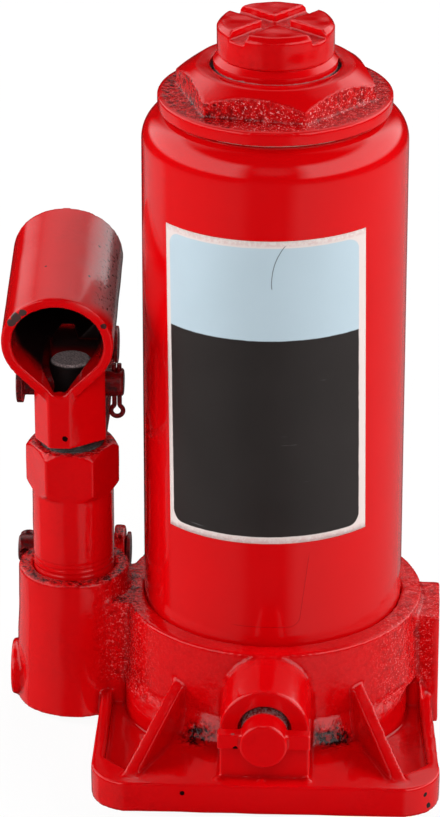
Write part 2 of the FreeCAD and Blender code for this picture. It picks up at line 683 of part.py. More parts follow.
def top_nut():
    body = new_body("top_nut")
    spigot = s.neck_radius - s.spigot_gap
    low = flange_bottom - s.spigot_length
    spin(body, "flange", [
        (0, low),
        (spigot, low),
        (spigot, flange_bottom),
        (s.flange_radius, flange_bottom),
        (s.flange_radius, flange_top),
        (0, flange_top),
    ])
    sketch = new_sketch(body, "hex", "XY_Plane", flange_top, Vector(0, 0, 1), s.hex_turn)
    hexagon(sketch, s.hex_across)
    pad(body, "hexagon", sketch, s.hex_height)
    corner = s.hex_across / 2 * HEX_TO_CORNER
    slope = s.crown_drop / (corner - s.crown_radius)
    spin(body, "crown", [
        (s.crown_radius, nut_top),
        (corner + SAFE_MARGIN, nut_top - s.crown_drop - slope * SAFE_MARGIN),
        (corner + SAFE_MARGIN, nut_top + SAFE_MARGIN),
        (s.crown_radius, nut_top + SAFE_MARGIN),
    ], cut=True)
    thread = s.cylinder_radius + s.seat_fit
    guide = s.ram_radius + s.running_fit
    wiper = s.ram_radius + s.wiper_width
    wiper_top = nut_top - s.lip_height
    wiper_low = wiper_top - s.wiper_height
    lip = s.ram_radius + s.lip_gap
    spin(body, "bore", [
        (0, low - SAFE_MARGIN),
        (thread, low - SAFE_MARGIN),
        (thread, nut_shoulder),
        (guide, nut_shoulder),
        (guide, wiper_low),
        (wiper, wiper_low),
        (wiper, wiper_top),
        (lip, wiper_top),
        (lip, nut_top + SAFE_MARGIN),
        (0, nut_top + SAFE_MARGIN),
    ], cut=True)
    return body


def wiper_ring():
    body = new_body("wiper_ring")
    outer = s.ram_radius + s.wiper_width
    inner = s.ram_radius + s.running_fit
    high = nut_top - s.lip_height
    low = high - s.wiper_height
    spin(body, "wiper", [
        (inner + s.wiper_width / 3, low),
        (outer, low),
        (outer, high),
        (inner + s.wiper_width / 3, high),
        (inner, high - s.wiper_height / 4),
        (inner, low + s.wiper_height / 3),
    ])
    return body


# The ram stands on its seal stack, from the foot up: snap ring, washer, seal, backup ring.
ram_bottom = cylinder_seat + s.ram_floor_gap
snap_low = ram_bottom + s.snap_foot
retainer_low = snap_low + s.snap_height
seal_low = retainer_low + s.retainer_height
backup_low = seal_low + s.seal_height
piston_low = backup_low + s.backup_height
piston_high = piston_low + s.piston_height
spigot_radius = bore_radius - s.seal_width
piston_radius = bore_radius - s.running_fit
screw_bottom = ram_top - s.screw_length
stop_low = screw_bottom + s.stop_foot
stop_top = stop_low + s.stop_height
thread_low = stop_top + s.screw_travel
stop_radius = s.screw_radius + s.stop_width


def ram():
    body = new_body("ram")
    thread = s.screw_radius + s.running_fit
    relief = stop_radius + s.side_play
    floor = screw_bottom - s.stop_foot
    spin(body, "ram_form", [
        (0, ram_bottom),
        (spigot_radius, ram_bottom),
        (spigot_radius, snap_low),
        (spigot_radius - s.snap_depth, snap_low),
        (spigot_radius - s.snap_depth, retainer_low),
        (spigot_radius, retainer_low),
        (spigot_radius, piston_low),
        (piston_radius, piston_low),
        (piston_radius, piston_high),
        (s.ram_radius, piston_high),
        (s.ram_radius, ram_top - s.ram_bevel),
        (s.ram_radius - s.ram_bevel, ram_top),
        (thread, ram_top),
        (thread, thread_low),
        (relief, thread_low),
        (relief, floor),
        (0, floor),
    ])
    return body


def ram_seal():
    """A U-cup that opens towards the oil below it."""
    body = new_body("ram_seal")
    lip = s.seal_width / 4
    outer = piston_radius
    inner = spigot_radius
    high = seal_low + s.seal_height
    middle = (inner + outer) / 2
    spin(body, "cup", [
        (inner, seal_low),
        (inner + lip, seal_low),
        (middle, seal_low + s.seal_height / 2),
        (outer - lip, seal_low),
        (outer, seal_low),
        (outer, high),
        (inner, high),
    ])
    return body


def ram_rings():
    ring("seal_backup_ring", spigot_radius, piston_radius, backup_low, s.backup_height)
    ring("seal_retainer", spigot_radius, piston_radius - s.side_play, retainer_low, s.retainer_height)
    ring("retaining_ring", spigot_radius - s.snap_depth, spigot_radius + s.snap_depth,
         snap_low, s.snap_height)


def extension_screw():
    """The long screw with its grooved saddle head."""
    body = new_body("extension_screw")
    groove = s.screw_radius - s.stop_width
    spin(body, "screw_form", [
        (0, screw_bottom),
        (s.screw_radius, screw_bottom),
        (s.screw_radius, stop_low),
        (groove, stop_low),
        (groove, stop_top),
        (s.screw_radius, stop_top),
        (s.screw_radius, ram_top),
        (s.saddle_radius, ram_top),
        (s.saddle_radius, saddle_top - s.saddle_bevel),
        (s.saddle_radius - s.saddle_bevel, saddle_top),
        (0, saddle_top),
    ])
    half = s.saddle_groove_width / 2
    reach = s.saddle_radius + SAFE_MARGIN
    for name, turn in (("first", s.saddle_turn), ("second", s.saddle_turn - 90)):
        sketch = new_sketch(body, f"{name}_groove", "XY_Plane", saddle_top, Vector(0, 0, 1), turn)
        rectangle(sketch, -reach, -half, reach, half)
        pocket(body, f"{name}_cut", sketch, s.saddle_groove_depth)
    return body


def pump_barrel():
    body = new_body("pump_barrel", pump_x)
    hex_low = barrel_top - s.barrel_hex_height
    bore = s.plunger_radius + s.running_fit
    stuffing = s.plunger_radius + s.packing_width
    spin(body, "barrel_form", [
        (0, barrel_bottom),
        (s.barrel_radius, barrel_bottom),
        (s.barrel_radius, hex_low),
        (0, hex_low),
    ])
    sketch = new_sketch(body, "head", "XY_Plane", hex_low)
    hexagon(sketch, s.barrel_hex_across)
    pad(body, "hexagon", sketch, s.barrel_hex_height)
    corner = s.barrel_hex_across / 2 * HEX_TO_CORNER
    flat = corner - s.barrel_bevel
    for name, edge, inward in (("upper", barrel_top, -1), ("lower", hex_low, 1)):
        spin(body, f"{name}_chamfer", [
            (flat, edge),
            (corner + SAFE_MARGIN, edge + inward * (s.barrel_bevel + SAFE_MARGIN)),
            (corner + SAFE_MARGIN, edge - inward * SAFE_MARGIN),
            (flat, edge - inward * SAFE_MARGIN),
        ], cut=True)
    stuffing_low = barrel_top - s.packing_height - s.gland_height
    spin(body, "bore", [
        (0, barrel_bottom - SAFE_MARGIN),
        (bore, barrel_bottom - SAFE_MARGIN),
        (bore, stuffing_low),
        (stuffing, stuffing_low),
        (stuffing, barrel_top + SAFE_MARGIN),
        (0, barrel_top + SAFE_MARGIN),
    ], cut=True)
    return body


def barrel_rings():
    inner = s.plunger_radius + s.running_fit
    outer = s.plunger_radius + s.packing_width
    packing_low = barrel_top - s.packing_height - s.gland_height
    ring("barrel_washer", s.plunger_radius, s.barrel_radius, s.barrel_seat, s.washer_height, pump_x)
    ring("plunger_packing", inner, outer, packing_low, s.packing_height, pump_x)
    ring("packing_gland", inner, outer, packing_low + s.packing_height, s.gland_height, pump_x)


def pump_plunger():
    body = new_body("pump_plunger", pump_x)
    radius = s.plunger_radius
    top = s.pivot_height + s.plunger_head
    groove = radius - s.plunger_seal_width
    groove_low = s.plunger_foot + 2 * s.plunger_seal_width
    groove_high = groove_low + s.plunger_seal_width
    spin(body, "plunger_form", [
        (0, s.plunger_foot),
        (radius - s.plunger_bevel, s.plunger_foot),
        (radius, s.plunger_foot + s.plunger_bevel),
        (radius, groove_low),
        (groove, groove_low),
        (groove, groove_high),
        (radius, groove_high),
        (radius, top - s.plunger_bevel),
        (radius - s.plunger_bevel, top),
        (0, top),
    ])
    sketch = new_sketch(body, "pin", "YZ_Plane")
    circle(sketch, s.pin_radius, 0, s.pivot_height)
    pocket(body, "pin_hole", sketch, 2 * (radius + SAFE_MARGIN), symmetric=True)
    ring("plunger_seal", groove, radius, groove_low, s.plunger_seal_width, pump_x)
    return body


def bracket_plan(inset, back):
    """The plan of the socket's bracket: a blunt nose, two slanted cheeks and straight ears."""
    length = s.bracket_front - s.bracket_flare
    cheeks = []
    for side in (-1, 1):
        nose = s.spout_half_width - side * s.socket_offset
        spread = s.bracket_half_width - nose
        slant = root(length * length + spread * spread)
        inner_nose = nose - inset * (slant - spread) / length
        inner_flare = inset * (slant - length) / spread - s.bracket_flare
        cheeks.append((inner_nose, inner_flare))
    (left_nose, left_flare), (right_nose, right_flare) = cheeks
    width = s.bracket_half_width - inset
    front = inset - s.bracket_front
    return [
        (-left_nose, front),
        (right_nose, front),
        (width, right_flare),
        (width, back),
        (-width, back),
        (-width, left_flare),
    ]


def handle_socket():
    """One pressed sheet: a tube for the handle, shut at its back, and a bracket around the plunger."""
    body = new_body("handle_socket", pump_x, 0, s.pivot_height)
    across = Vector(1, 0, 0)
    ear_back = s.pivot_reach + s.ear_round
    back_reach = s.socket_length - s.socket_nose
    middle = -s.socket_offset
    tube = new_sketch(body, "tube", "XZ_Plane", 0, across, s.socket_tilt)
    outside = s.socket_bore + s.socket_wall
    teardrop(tube, outside, middle, s.socket_rise, s.spout_half_width, s.spout_height)
    pad(body, "tube_outside", tube, s.socket_nose, back=back_reach)
    plan = new_sketch(body, "plan", "XY_Plane", -s.bracket_drop)
    outline(plan, bracket_plan(as_size(0), ear_back))
    pad(body, "bracket_outside", plan, s.bracket_drop + s.socket_rise)
    bore = new_sketch(body, "bore", "XZ_Plane", 0, across, s.socket_tilt)
    inner_tip = s.spout_half_width / 2
    teardrop(bore, s.socket_bore, middle, s.socket_rise, inner_tip, s.spout_height + s.socket_wall)
    pocket(body, "tube_inside", bore, back_reach - s.socket_back, back=s.socket_nose + s.socket_wall)
    head_swing = root(s.plunger_head * s.plunger_head + s.plunger_radius * s.plunger_radius)
    link_swing = s.link_round + s.slot_reach + s.slot_play
    below = s.bracket_drop + SAFE_MARGIN
    rooms = (
        ("link_room", ear_back + SAFE_MARGIN, link_swing + s.side_play),
        ("plunger_room", head_swing + s.side_play, s.socket_rise - s.socket_wall),
    )
    for name, back, top in rooms:
        hollow = new_sketch(body, name + "_plan", "XY_Plane", -below)
        outline(hollow, bracket_plan(s.bracket_wall, back))
        pocket(body, name, hollow, below + top, reverse=True)
    seam = new_sketch(body, "seam", "XZ_Plane", 0, across, s.socket_tilt)
    seam_top = s.socket_rise + s.socket_bore
    half_seam = s.seam_width / 2
    rectangle(seam, middle - half_seam, seam_top - s.seam_height, middle + half_seam, seam_top)
    pocket(body, "back_seam", seam, back_reach + SAFE_MARGIN)
    trim_ears(body, ear_back)
    pins = new_sketch(body, "pins", "YZ_Plane")
    circle(pins, s.pin_radius + s.running_fit)
    circle(pins, s.pin_radius, s.pivot_reach, 0)
    pocket(body, "pin_holes", pins, 2 * (s.bracket_half_width + SAFE_MARGIN), symmetric=True)
    return body


def trim_ears(body, ear_back):
    """Cuts the ears back to a round end around the link pin."""
    below = -s.bracket_drop - SAFE_MARGIN
    beyond = ear_back + SAFE_MARGIN
    sketch = new_sketch(body, "ears", "YZ_Plane")
    outline(sketch, [
        (s.bracket_back, below),
        (beyond, below),
        (beyond, 0),
        (ear_back, 0, -s.ear_round),
        (s.pivot_reach, -s.ear_round),
        (s.bracket_back, -s.bracket_drop),
    ])
    pocket(body, "ear_trim", sketch, 2 * (s.bracket_half_width + SAFE_MARGIN), symmetric=True)


def headed_pin(name, y, z, half_grip, slack, head_form, turn=HEAD_LEFT, cross_plane="XY_Plane"):
    """A headed pin across the linkage, with a cross hole for its cotter pin beyond its far end."""
    body = new_body(name, pump_x, y, z, turn)
    head_radius, head_depth = head_form
    head = -half_grip - slack
    tail = half_grip + s.pin_tail
    spin(body, "pin_form", [
        (head - head_depth, 0),
        (head - head_depth, head_radius),
        (head, head_radius),
        (head, s.pin_radius),
        (tail - s.pin_bevel, s.pin_radius),
        (tail, s.pin_radius - s.pin_bevel),
        (tail, 0),
    ], axis="H_Axis")
    sketch = new_sketch(body, "cross", cross_plane)
    circle(sketch, cotter_hole, half_grip + cotter_offset)
    pocket(body, "cotter_hole", sketch, 2 * (s.pin_radius + SAFE_MARGIN), symmetric=True)
    return body


cotter_hole = 2 * s.cotter_radius + 2 * s.running_fit
cotter_offset = s.side_play + s.cotter_eye + s.cotter_radius


def cotter_pin(name, y, z, x, turn):
    """A split pin of one bent wire, through the end of a headed pin."""
    body = new_body(name, x, y, z, turn)
    leg = s.cotter_radius + s.running_fit
    foot = -s.pin_radius - s.cotter_tail
    path = new_sketch(body, "path", "XZ_Plane")
    edges = cotter_path(path, leg, foot, s.pin_radius + s.cotter_neck + s.cotter_eye)
    wire = new_sketch(body, "wire", "XY_Plane", foot)
    circle(wire, s.cotter_radius, -leg)
    pipe = feature(body, "AdditivePipe", "split_pin", wire)
    pipe.Spine = (path, [f"Edge{k + 1}" for k in range(edges)])
    return body


def cotter_path(path, leg, foot, rise):
    """The middle of the wire: up one leg, around the eye at the given rise and down the other leg."""
    eye = s.cotter_eye
    bend = s.cotter_bend
    across = leg + bend
    drop = root((eye + bend) * (eye + bend) - across * across)
    tilt = math.atan2(drop.value, across.value)
    upright = Vector(0, 0, 1)
    neck = (rise - drop).value
    eye_circle = Part.Circle(Vector(0, rise.value, 0), upright, eye.value)
    left_circle = Part.Circle(Vector(-across.value, neck, 0), upright, bend.value)
    right_circle = Part.Circle(Vector(across.value, neck, 0), upright, bend.value)
    feet = [Vector(-leg.value, foot.value, 0), Vector(leg.value, foot.value, 0)]
    necks = [Vector(-leg.value, neck, 0), Vector(leg.value, neck, 0)]
    geometry = [
        Part.LineSegment(feet[0], necks[0]),
        Part.ArcOfCircle(left_circle, 0, tilt),
        Part.ArcOfCircle(eye_circle, -tilt, math.pi + tilt),
        Part.ArcOfCircle(right_circle, math.pi - tilt, math.pi),
        Part.LineSegment(necks[1], feet[1]),
    ]
    left, left_neck, loop, right_neck, right = [path.addGeometry(g, False) for g in geometry]
    joins = (
        (left, 2, left_neck, 1),
        (left_neck, 2, loop, 2),
        (loop, 1, right_neck, 1),
        (right_neck, 2, right, 1),
    )
    for ends in joins:
        path.addConstraint(Sketcher.Constraint("Tangent", *ends))
    for line in (left, right):
        path.addConstraint(Sketcher.Constraint("Vertical", line))
    fix_point(path, left, 1, -leg, foot)
    fix_point(path, right, 2, leg, foot)
    fix_point(path, loop, 3, 0, rise)
    for arc, radius in ((loop, eye), (left_neck, bend), (right_neck, bend)):
        fix(path, "Radius", radius, arc)
    return len(geometry)


def linkage_pins():
    """The plunger pin shows its tail at the right; the pins of the link have theirs at the left."""
    grip = s.bracket_half_width
    round_head = (s.pin_head_radius, s.pin_head)
    flat_head = (s.flat_head_radius, s.flat_head)
    reach, anchor = s.pivot_reach, s.anchor_back
    headed_pin("plunger_pin", 0, s.pivot_height, grip, s.plunger_pin_slack, round_head)
    headed_pin("link_pin", reach, s.pivot_height, grip, s.side_play, flat_head, HEAD_RIGHT)
    headed_pin("anchor_pin", anchor, s.anchor_height, lug_side, s.side_play, flat_head, HEAD_RIGHT, "XZ_Plane")
    right = pump_x + grip + cotter_offset
    left = pump_x - grip - cotter_offset
    foot_left = pump_x - lug_side - cotter_offset
    cotter_pin("plunger_pin_cotter", 0, s.pivot_height, right, EYE_DOWN)
    cotter_pin("link_pin_cotter", reach, s.pivot_height, left, EYE_DOWN)
    cotter_pin("anchor_pin_cotter", anchor, s.anchor_height, foot_left, EYE_BACK)


def link():
    """The strut from the base to the back of the socket, with a slotted upper hole."""
    body = new_body("link", pump_x, s.anchor_back, s.anchor_height)
    lean = s.pivot_reach - s.anchor_back
    rise = s.pivot_height - s.anchor_height
    size = s.link_round
    side = new_sketch(body, "side", "YZ_Plane")
    outline(side, [
        (-size, 0, HALF_TURN),
        (size, 0),
        (lean + size, rise, HALF_TURN),
        (lean - size, rise),
    ])
    inner_gap = s.bracket_half_width - s.bracket_wall
    pad(body, "strut", side, 2 * (inner_gap - s.side_play), symmetric=True)
    hub = new_sketch(body, "hub", "YZ_Plane")
    circle(hub, size)
    pad(body, "foot_hub", hub, 2 * (s.lug_gap - s.side_play), symmetric=True)
    holes = new_sketch(body, "holes", "YZ_Plane")
    circle(holes, s.pin_radius + s.running_fit)
    slot = s.pin_radius + s.slot_play
    level = rise - s.slot_drop
    outline(holes, [
        (lean, level - slot),
        (lean + s.slot_reach, level - slot, HALF_TURN),
        (lean + s.slot_reach, level + slot),
        (lean, level + slot, HALF_TURN),
    ])
    pocket(body, "pin_holes", holes, 2 * (s.lug_gap + SAFE_MARGIN), symmetric=True)
    return body


valve_floor = s.valve_boss_front - s.valve_bore_depth
release_seat = valve_floor - 2 * s.ball_radius
release_ball_y = -(release_seat + seat_rise)
valve_tip = release_ball_y - s.ball_radius - s.ball_play


def release_valve():
    """The screw at the front with two wings, which lets the oil back when it is turned."""
    body = new_body("release_valve", 0, 0, s.valve_height)
    front = -s.valve_boss_front - s.valve_stand
    seal = s.valve_seal_back - s.valve_boss_front
    stem = s.chamber_radius - s.side_play
    spin(body, "spindle", [
        (0, valve_tip),
        (stem / 2, valve_tip),
        (stem, valve_tip - stem / 2),
        (stem, -valve_floor - s.release_travel - s.side_play),
        (s.valve_radius, -valve_floor - s.release_travel - s.side_play),
        (s.valve_radius, seal + s.valve_seal_width),
        (s.valve_radius - s.valve_seal_width, seal + s.valve_seal_width),
        (s.valve_radius - s.valve_seal_width, seal),
        (s.valve_radius, seal),
        (s.valve_radius, front + s.valve_bevel),
        (s.valve_radius - s.valve_bevel, front),
        (0, front),
    ], plane="XY_Plane")
    wings = new_sketch(body, "wings", "XZ_Plane", -front - s.wing_set - s.wing_depth)
    rectangle(wings, -s.wing_span / 2, -s.wing_height / 2, s.wing_span / 2, s.wing_height / 2)
    pad(body, "wing", wings, s.wing_depth)
    return body


def release_o_ring():
    body = new_body("release_o_ring", 0, 0, s.valve_height)
    low = s.valve_seal_back - s.valve_boss_front + s.running_fit
    high = low + s.valve_seal_width - 2 * s.running_fit
    inner = s.valve_radius - s.valve_seal_width + s.running_fit
    spin(body, "ring", [
        (inner, low),
        (s.valve_radius, low),
        (s.valve_radius, high),
        (inner, high),
    ], plane="XY_Plane")
    return body


def ball(name, x, y, z):
    made = doc.addObject("Part::Sphere", name)
    made.Label = name
    bind(made, "Radius", s.ball_radius)
    place(made, x, y, z)
    nodes.append(made)
    return made


def spring(name, x, z, length):
    """A coil spring along +X from x."""
    coil = doc.addObject("Part::Helix", f"{name}_coil")
    radius = s.ball_radius - s.spring_wire
    run = length - 2 * s.spring_wire
    bind(coil, "Radius", radius)
    bind(coil, "Height", run)
    bind(coil, "Pitch", run / s.spring_turns)
    wire = doc.addObject("Part::Circle", f"{name}_wire")
    bind(wire, "Radius", s.spring_wire)
    wire.Placement = Placement(Vector(), Rotation(Vector(1, 0, 0), 90))
    bind(wire, "Placement.Base.x", radius)
    made = doc.addObject("Part::Sweep", name)
    made.Label = name
    made.Sections = [wire]
    made.Spine = (coil, ["Edge1"])
    made.Solid = True
    made.Frenet = True
    made.Placement = Placement(Vector(), Rotation(Vector(0, 1, 0), 90))
    place(made, x + s.spring_wire, 0, z)
    nodes.append(made)
    return made


def screw_plug(name, x, z, length, outward):
    """A slotted plug along X, with its outer face at x."""
    body = new_body(name, x, 0, z)
    radius = s.chamber_radius - s.running_fit
    spin(body, "plug_form", [
        (0, 0),
        (0, radius - s.pin_bevel),
        (-outward * s.pin_bevel, radius),
        (-outward * length, radius),
        (-outward * length, 0),
    ], axis="H_Axis")
    sketch = new_sketch(body, "slot", "YZ_Plane", outward * SAFE_MARGIN)
    half = s.slot_width / 2
    rectangle(sketch, -half, -s.chamber_radius, half, s.chamber_radius)
    pocket(body, "slot_cut", sketch, s.slot_depth + SAFE_MARGIN, reverse=outward < 0)
    return body


def valves():
    ball("release_ball", 0, release_ball_y, s.valve_height)
    ball("suction_ball", pump_x, 0, s.barrel_seat - s.suction_depth + seat_rise)
    discharge = plug_face + s.plug_bore_depth - seat_rise
    ball("discharge_ball", discharge, 0, s.plug_height)
    plug_x = plug_face + s.screw_recess
    screw_plug("discharge_plug", plug_x, s.plug_height, s.plug_length, -1)
    spring_x = plug_x + s.plug_length + s.spring_play
    spring("discharge_spring", spring_x, s.plug_height,
           discharge - s.ball_radius - s.spring_play - spring_x)
    safety = s.pad_end - s.safety_bore_depth + seat_rise
    ball("safety_ball", safety, 0, s.safety_height)
    screw_x = s.pad_end - s.screw_recess
    screw_plug("safety_screw", screw_x, s.safety_height, s.safety_screw_length, 1)
    spring_x = safety + s.ball_radius + s.spring_play
    spring("safety_spring", spring_x, s.safety_height,
           screw_x - s.safety_screw_length - s.spring_play - spring_x)


def build():
    base_casting()
    oil_tank()
    filler_plug()
    ring("tank_gasket", s.tank_radius - s.tank_wall, s.tank_radius, tank_seat, s.gasket_thickness)
    ring("pressure_cylinder", bore_radius, s.cylinder_radius,
         cylinder_bottom, nut_shoulder - cylinder_bottom)
    ring("cylinder_gasket", bore_radius, s.cylinder_radius, cylinder_seat, s.gasket_thickness)
    top_nut()
    ring("top_gasket", s.neck_radius, s.neck_radius + s.top_gasket_width, tank_top, s.top_gasket_thickness)
    wiper_ring()
    ram()
    ram_seal()
    ram_rings()
    extension_screw()
    ring("screw_stop_ring", s.screw_radius - s.stop_width + s.running_fit, stop_radius,
         stop_low + s.running_fit, s.stop_height - 2 * s.running_fit)
    pump_barrel()
    barrel_rings()
    pump_plunger()
    handle_socket()
    linkage_pins()
    link()
    release_valve()
    release_o_ring()
    valves()


def check():
    """Stops before anything is written if a feature failed, cut nothing or left no solid."""
    failed = [o.Name for o in doc.Objects if {"Invalid", "Error"} & set(o.State)]
    for node in nodes:
        if node.Shape.isNull() or not node.Shape.isValid() or len(node.Shape.Solids) != 1:
            failed.append(f"{node.Label} is not one valid solid")
    if not failed:
        cuts = [o for o in doc.Objects if o.TypeId in ("PartDesign::Pocket", "PartDesign::Groove")]
        idle = [c for c in cuts if c.Shape.Volume > c.BaseFeature.Shape.Volume - TINY]
        failed = [f"{c.Name} cuts nothing" for c in idle]
    if failed:
        raise RuntimeError(", ".join(failed))


build()
doc.recompute()
check()
os.makedirs("parts", exist_ok=True)
for node in nodes:
    node.Shape.exportStep(f"parts/{node.Label}.step")
    print(f"{node.Label}: {node.Shape.Volume / 1000:.2f} cm3")
print(f"closed height {saddle_top.value:.1f} mm, {len(nodes)} nodes")
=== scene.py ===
import json
import math
import bmesh
import bpy
import numpy as np
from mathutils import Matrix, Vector


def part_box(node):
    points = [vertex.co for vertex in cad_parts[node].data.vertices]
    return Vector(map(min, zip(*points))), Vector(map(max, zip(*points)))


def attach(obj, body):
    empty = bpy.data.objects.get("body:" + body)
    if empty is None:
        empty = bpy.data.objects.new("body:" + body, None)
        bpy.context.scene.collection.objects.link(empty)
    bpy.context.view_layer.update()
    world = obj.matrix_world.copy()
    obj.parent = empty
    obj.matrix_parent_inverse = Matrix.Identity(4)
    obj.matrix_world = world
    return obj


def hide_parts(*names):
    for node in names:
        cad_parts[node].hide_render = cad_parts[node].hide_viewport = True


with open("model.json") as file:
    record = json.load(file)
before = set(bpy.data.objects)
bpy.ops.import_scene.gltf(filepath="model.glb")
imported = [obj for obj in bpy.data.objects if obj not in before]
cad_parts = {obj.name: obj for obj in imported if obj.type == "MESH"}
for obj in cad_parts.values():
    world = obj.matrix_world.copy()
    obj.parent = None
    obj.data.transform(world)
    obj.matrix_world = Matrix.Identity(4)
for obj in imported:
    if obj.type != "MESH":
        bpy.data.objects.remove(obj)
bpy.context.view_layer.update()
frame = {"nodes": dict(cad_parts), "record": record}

mm = 0.001
nodes = frame["nodes"]
bodyOf = {node: body for body, names in frame["record"]["behaviour"]["bodies"].items() for node in names}
slotOf = {row["node"]: row["material_slot"] for row in frame["record"]["subparts"]}
bpy.context.scene.view_settings.view_transform = "Standard"


class Wire:
    # an output socket, with arithmetic that adds Math nodes
    def __init__(self, finish, socket):
        self.finish = finish
        self.socket = socket

    def maths(self, operation, *values, clamp=False):
        settings = {"operation": operation, "use_clamp": clamp}
        return self.finish.node("Math", settings, dict(enumerate(values)))

    def __add__(self, other):
        return self.maths("ADD", self, other)

    def __sub__(self, other):
        return self.maths("SUBTRACT", self, other)

    def __rsub__(self, other):
        return self.maths("SUBTRACT", other, self)

    def __mul__(self, other):
        return self.maths("MULTIPLY", self, other)

    def __truediv__(self, other):
        return self.maths("DIVIDE", self, other)

    def __rtruediv__(self, other):
        return self.maths("DIVIDE", other, self)

    def __pow__(self, other):
        return self.maths("POWER", self, other)

    def __rpow__(self, other):
        return self.maths("POWER", other, self)

    def __abs__(self):
        return self.maths("ABSOLUTE", self)

    __radd__ = __add__
    __rmul__ = __mul__

    def most(self, other):
        return self.maths("MAXIMUM", self, other)

    def clipped(self):
        return self.maths("ADD", self, 0, clamp=True)

    def between(self, low, high):  # 0 at low, 1 at high, soft at both ends
        settings = {"interpolation_type": "SMOOTHSTEP"}
        return self.finish.node("MapRange", settings, {"Value": self, "From Min": low, "From Max": high})


noiseMiddle = 0.5  # about the mean of a noise
spotCore = {"mark": 0.25, "zone": 0.3}  # share of a spot's radius that is full


class Finish:
    # the node tree of a material or of the world
    def __init__(self, owner):
        owner.use_nodes = True
        self.owner = owner
        self.tree = owner.node_tree
        self.tree.nodes.clear()

    def node(self, kind, settings=None, inputs=None, output=0):
        made = self.tree.nodes.new("ShaderNode" + kind)
        for name, value in (settings or {}).items():
            setattr(made, name, value)
        for name, value in (inputs or {}).items():
            if isinstance(value, Wire):
                self.tree.links.new(value.socket, made.inputs[name])
            else:
                made.inputs[name].default_value = value
        return Wire(self, made.outputs[output]) if made.outputs else made

    def place(self):
        return self.node("TexCoord", output="Object")

    def axis(self, name, where=None):
        return self.node("SeparateXYZ", None, {"Vector": where or self.place()}, output=name)

    def turn(self, where):  # angle around Z from the front, in radians
        sides = {0: self.axis("X", where), 1: -1 * self.axis("Y", where)}
        return self.node("Math", {"operation": "ARCTAN2"}, sides)

    def noise(self, size, detail=2.0, rough=0.5, where=None):  # size of a lump in mm
        return self.node("TexNoise", None, {
            "Vector": where or self.place(), "Scale": 1 / (size * mm), "Detail": detail, "Roughness": rough})

    def cells(self, size):
        return self.node("TexVoronoi", None, {"Vector": self.place(), "Scale": 1 / (size * mm)})

    def stored(self, name):
        return self.node("Attribute", {"attribute_name": name}, output="Fac")

    def blend(self, share, first, second):
        pair = {6 + k: c if isinstance(c, Wire) else (*c, 1) for k, c in enumerate((first, second))}
        return self.node("Mix", {"data_type": "RGBA"}, {0: share, **pair}, output=2)

    def shades(self, share, colour, low, high):  # a colour from low to high times its strength
        return self.blend(share, [c * low for c in colour], [c * high for c in colour])

    def bump(self, height, depth, under=None):  # depth in mm
        inputs = {"Height": height, "Distance": depth * mm}
        if under is not None:
            inputs["Normal"] = under
        return self.node("Bump", None, inputs)

    def near(self, spot, radius):  # 1 at a spot in mm, 0 outside its radius
        gap = self.node("VectorMath", {"operation": "DISTANCE"}, {
            0: self.place(), 1: [c * mm for c in spot]}, output="Value")
        return 1 - gap.between(spotCore["mark"] * radius * mm, radius * mm)

    def surface(self, colour, **sockets):
        colour = colour if isinstance(colour, Wire) else (*colour, 1)
        shader = self.node("BsdfPrincipled", None, {"Base Color": colour, **sockets})
        self.node("OutputMaterial", None, {"Surface": shader})
        return self.owner


def newFinish(name):
    return Finish(bpy.data.materials.new(name))


def edgesOf(mesh):
    pairs = np.empty(len(mesh.edges) * 2, dtype=np.int32)
    mesh.edges.foreach_get("vertices", pairs)
    return pairs.reshape(-1, 2)


def pointsOf(mesh):
    flat = np.empty(len(mesh.vertices) * 3)
    mesh.vertices.foreach_get("co", flat)
    return flat.reshape(-1, 3) / mm


def normalsOf(mesh):
    flat = np.empty(len(mesh.vertices) * 3)
    mesh.vertex_normals.foreach_get("vector", flat)
    return flat.reshape(-1, 3)


def setPoints(mesh, points):
    mesh.vertices.foreach_set("co", (points * mm).ravel())
    mesh.update()


def neighbourMean(values, edges):
    ends = np.concatenate([edges, edges[:, ::-1]])
    here, there = ends.T
    count = np.bincount(here, minlength=len(values))
    columns = values.reshape(len(values), -1).T
    sums = [np.bincount(here, weights=column[there], minlength=len(values)) for column in columns]
    return (np.stack(sums, axis=1) / np.maximum(count, 1)[:, None]).reshape(values.shape)


def relaxed(values, edges, rounds, pull=0.5):
    for _ in range(rounds):
        values = values + pull * (neighbourMean(values, edges) - values)
    return values


hashing = {
    "axes": (374761393, 668265263, 2147483029), "stir": 1274126177, "low": 13, "high": 16, "mask": 0xffff,
}


def lumps(points, size, seed):
    # smooth seeded lumps from -1 to 1, of a size in mm
    cell = points / size + seed * math.pi
    corner = np.floor(cell).astype(np.int64)
    part = cell - corner
    part = part * part * (3 - 2 * part)
    total = np.zeros(len(points))
    for step in np.ndindex(2, 2, 2):
        key = ((corner + step) * hashing["axes"]).sum(axis=1)
        key = (key ^ (key >> hashing["low"])) * hashing["stir"]
        value = ((key ^ (key >> hashing["high"])) & hashing["mask"]) / hashing["mask"]
        total += value * np.prod(np.where(step, part, 1 - part), axis=1)
    return total * 2 - 1


def patches(points, level, spread, size, seed):
    return np.clip(level + spread * lumps(points, size, seed), 0, 1)


def softStep(values, low, high):
    share = np.clip((values - low) / (high - low), 0, 1)
    return share * share * (3 - 2 * share)


def around(points, spot, radius):  # 1 near a spot in mm, 0 outside its radius
    return 1 - softStep(np.linalg.norm(points - spot, axis=1), spotCore["zone"] * radius, radius)


def storeValue(mesh, name, values):
    layer = mesh.attributes.new(name, "FLOAT", "POINT")
    layer.data.foreach_set("value", values.astype(np.float32))


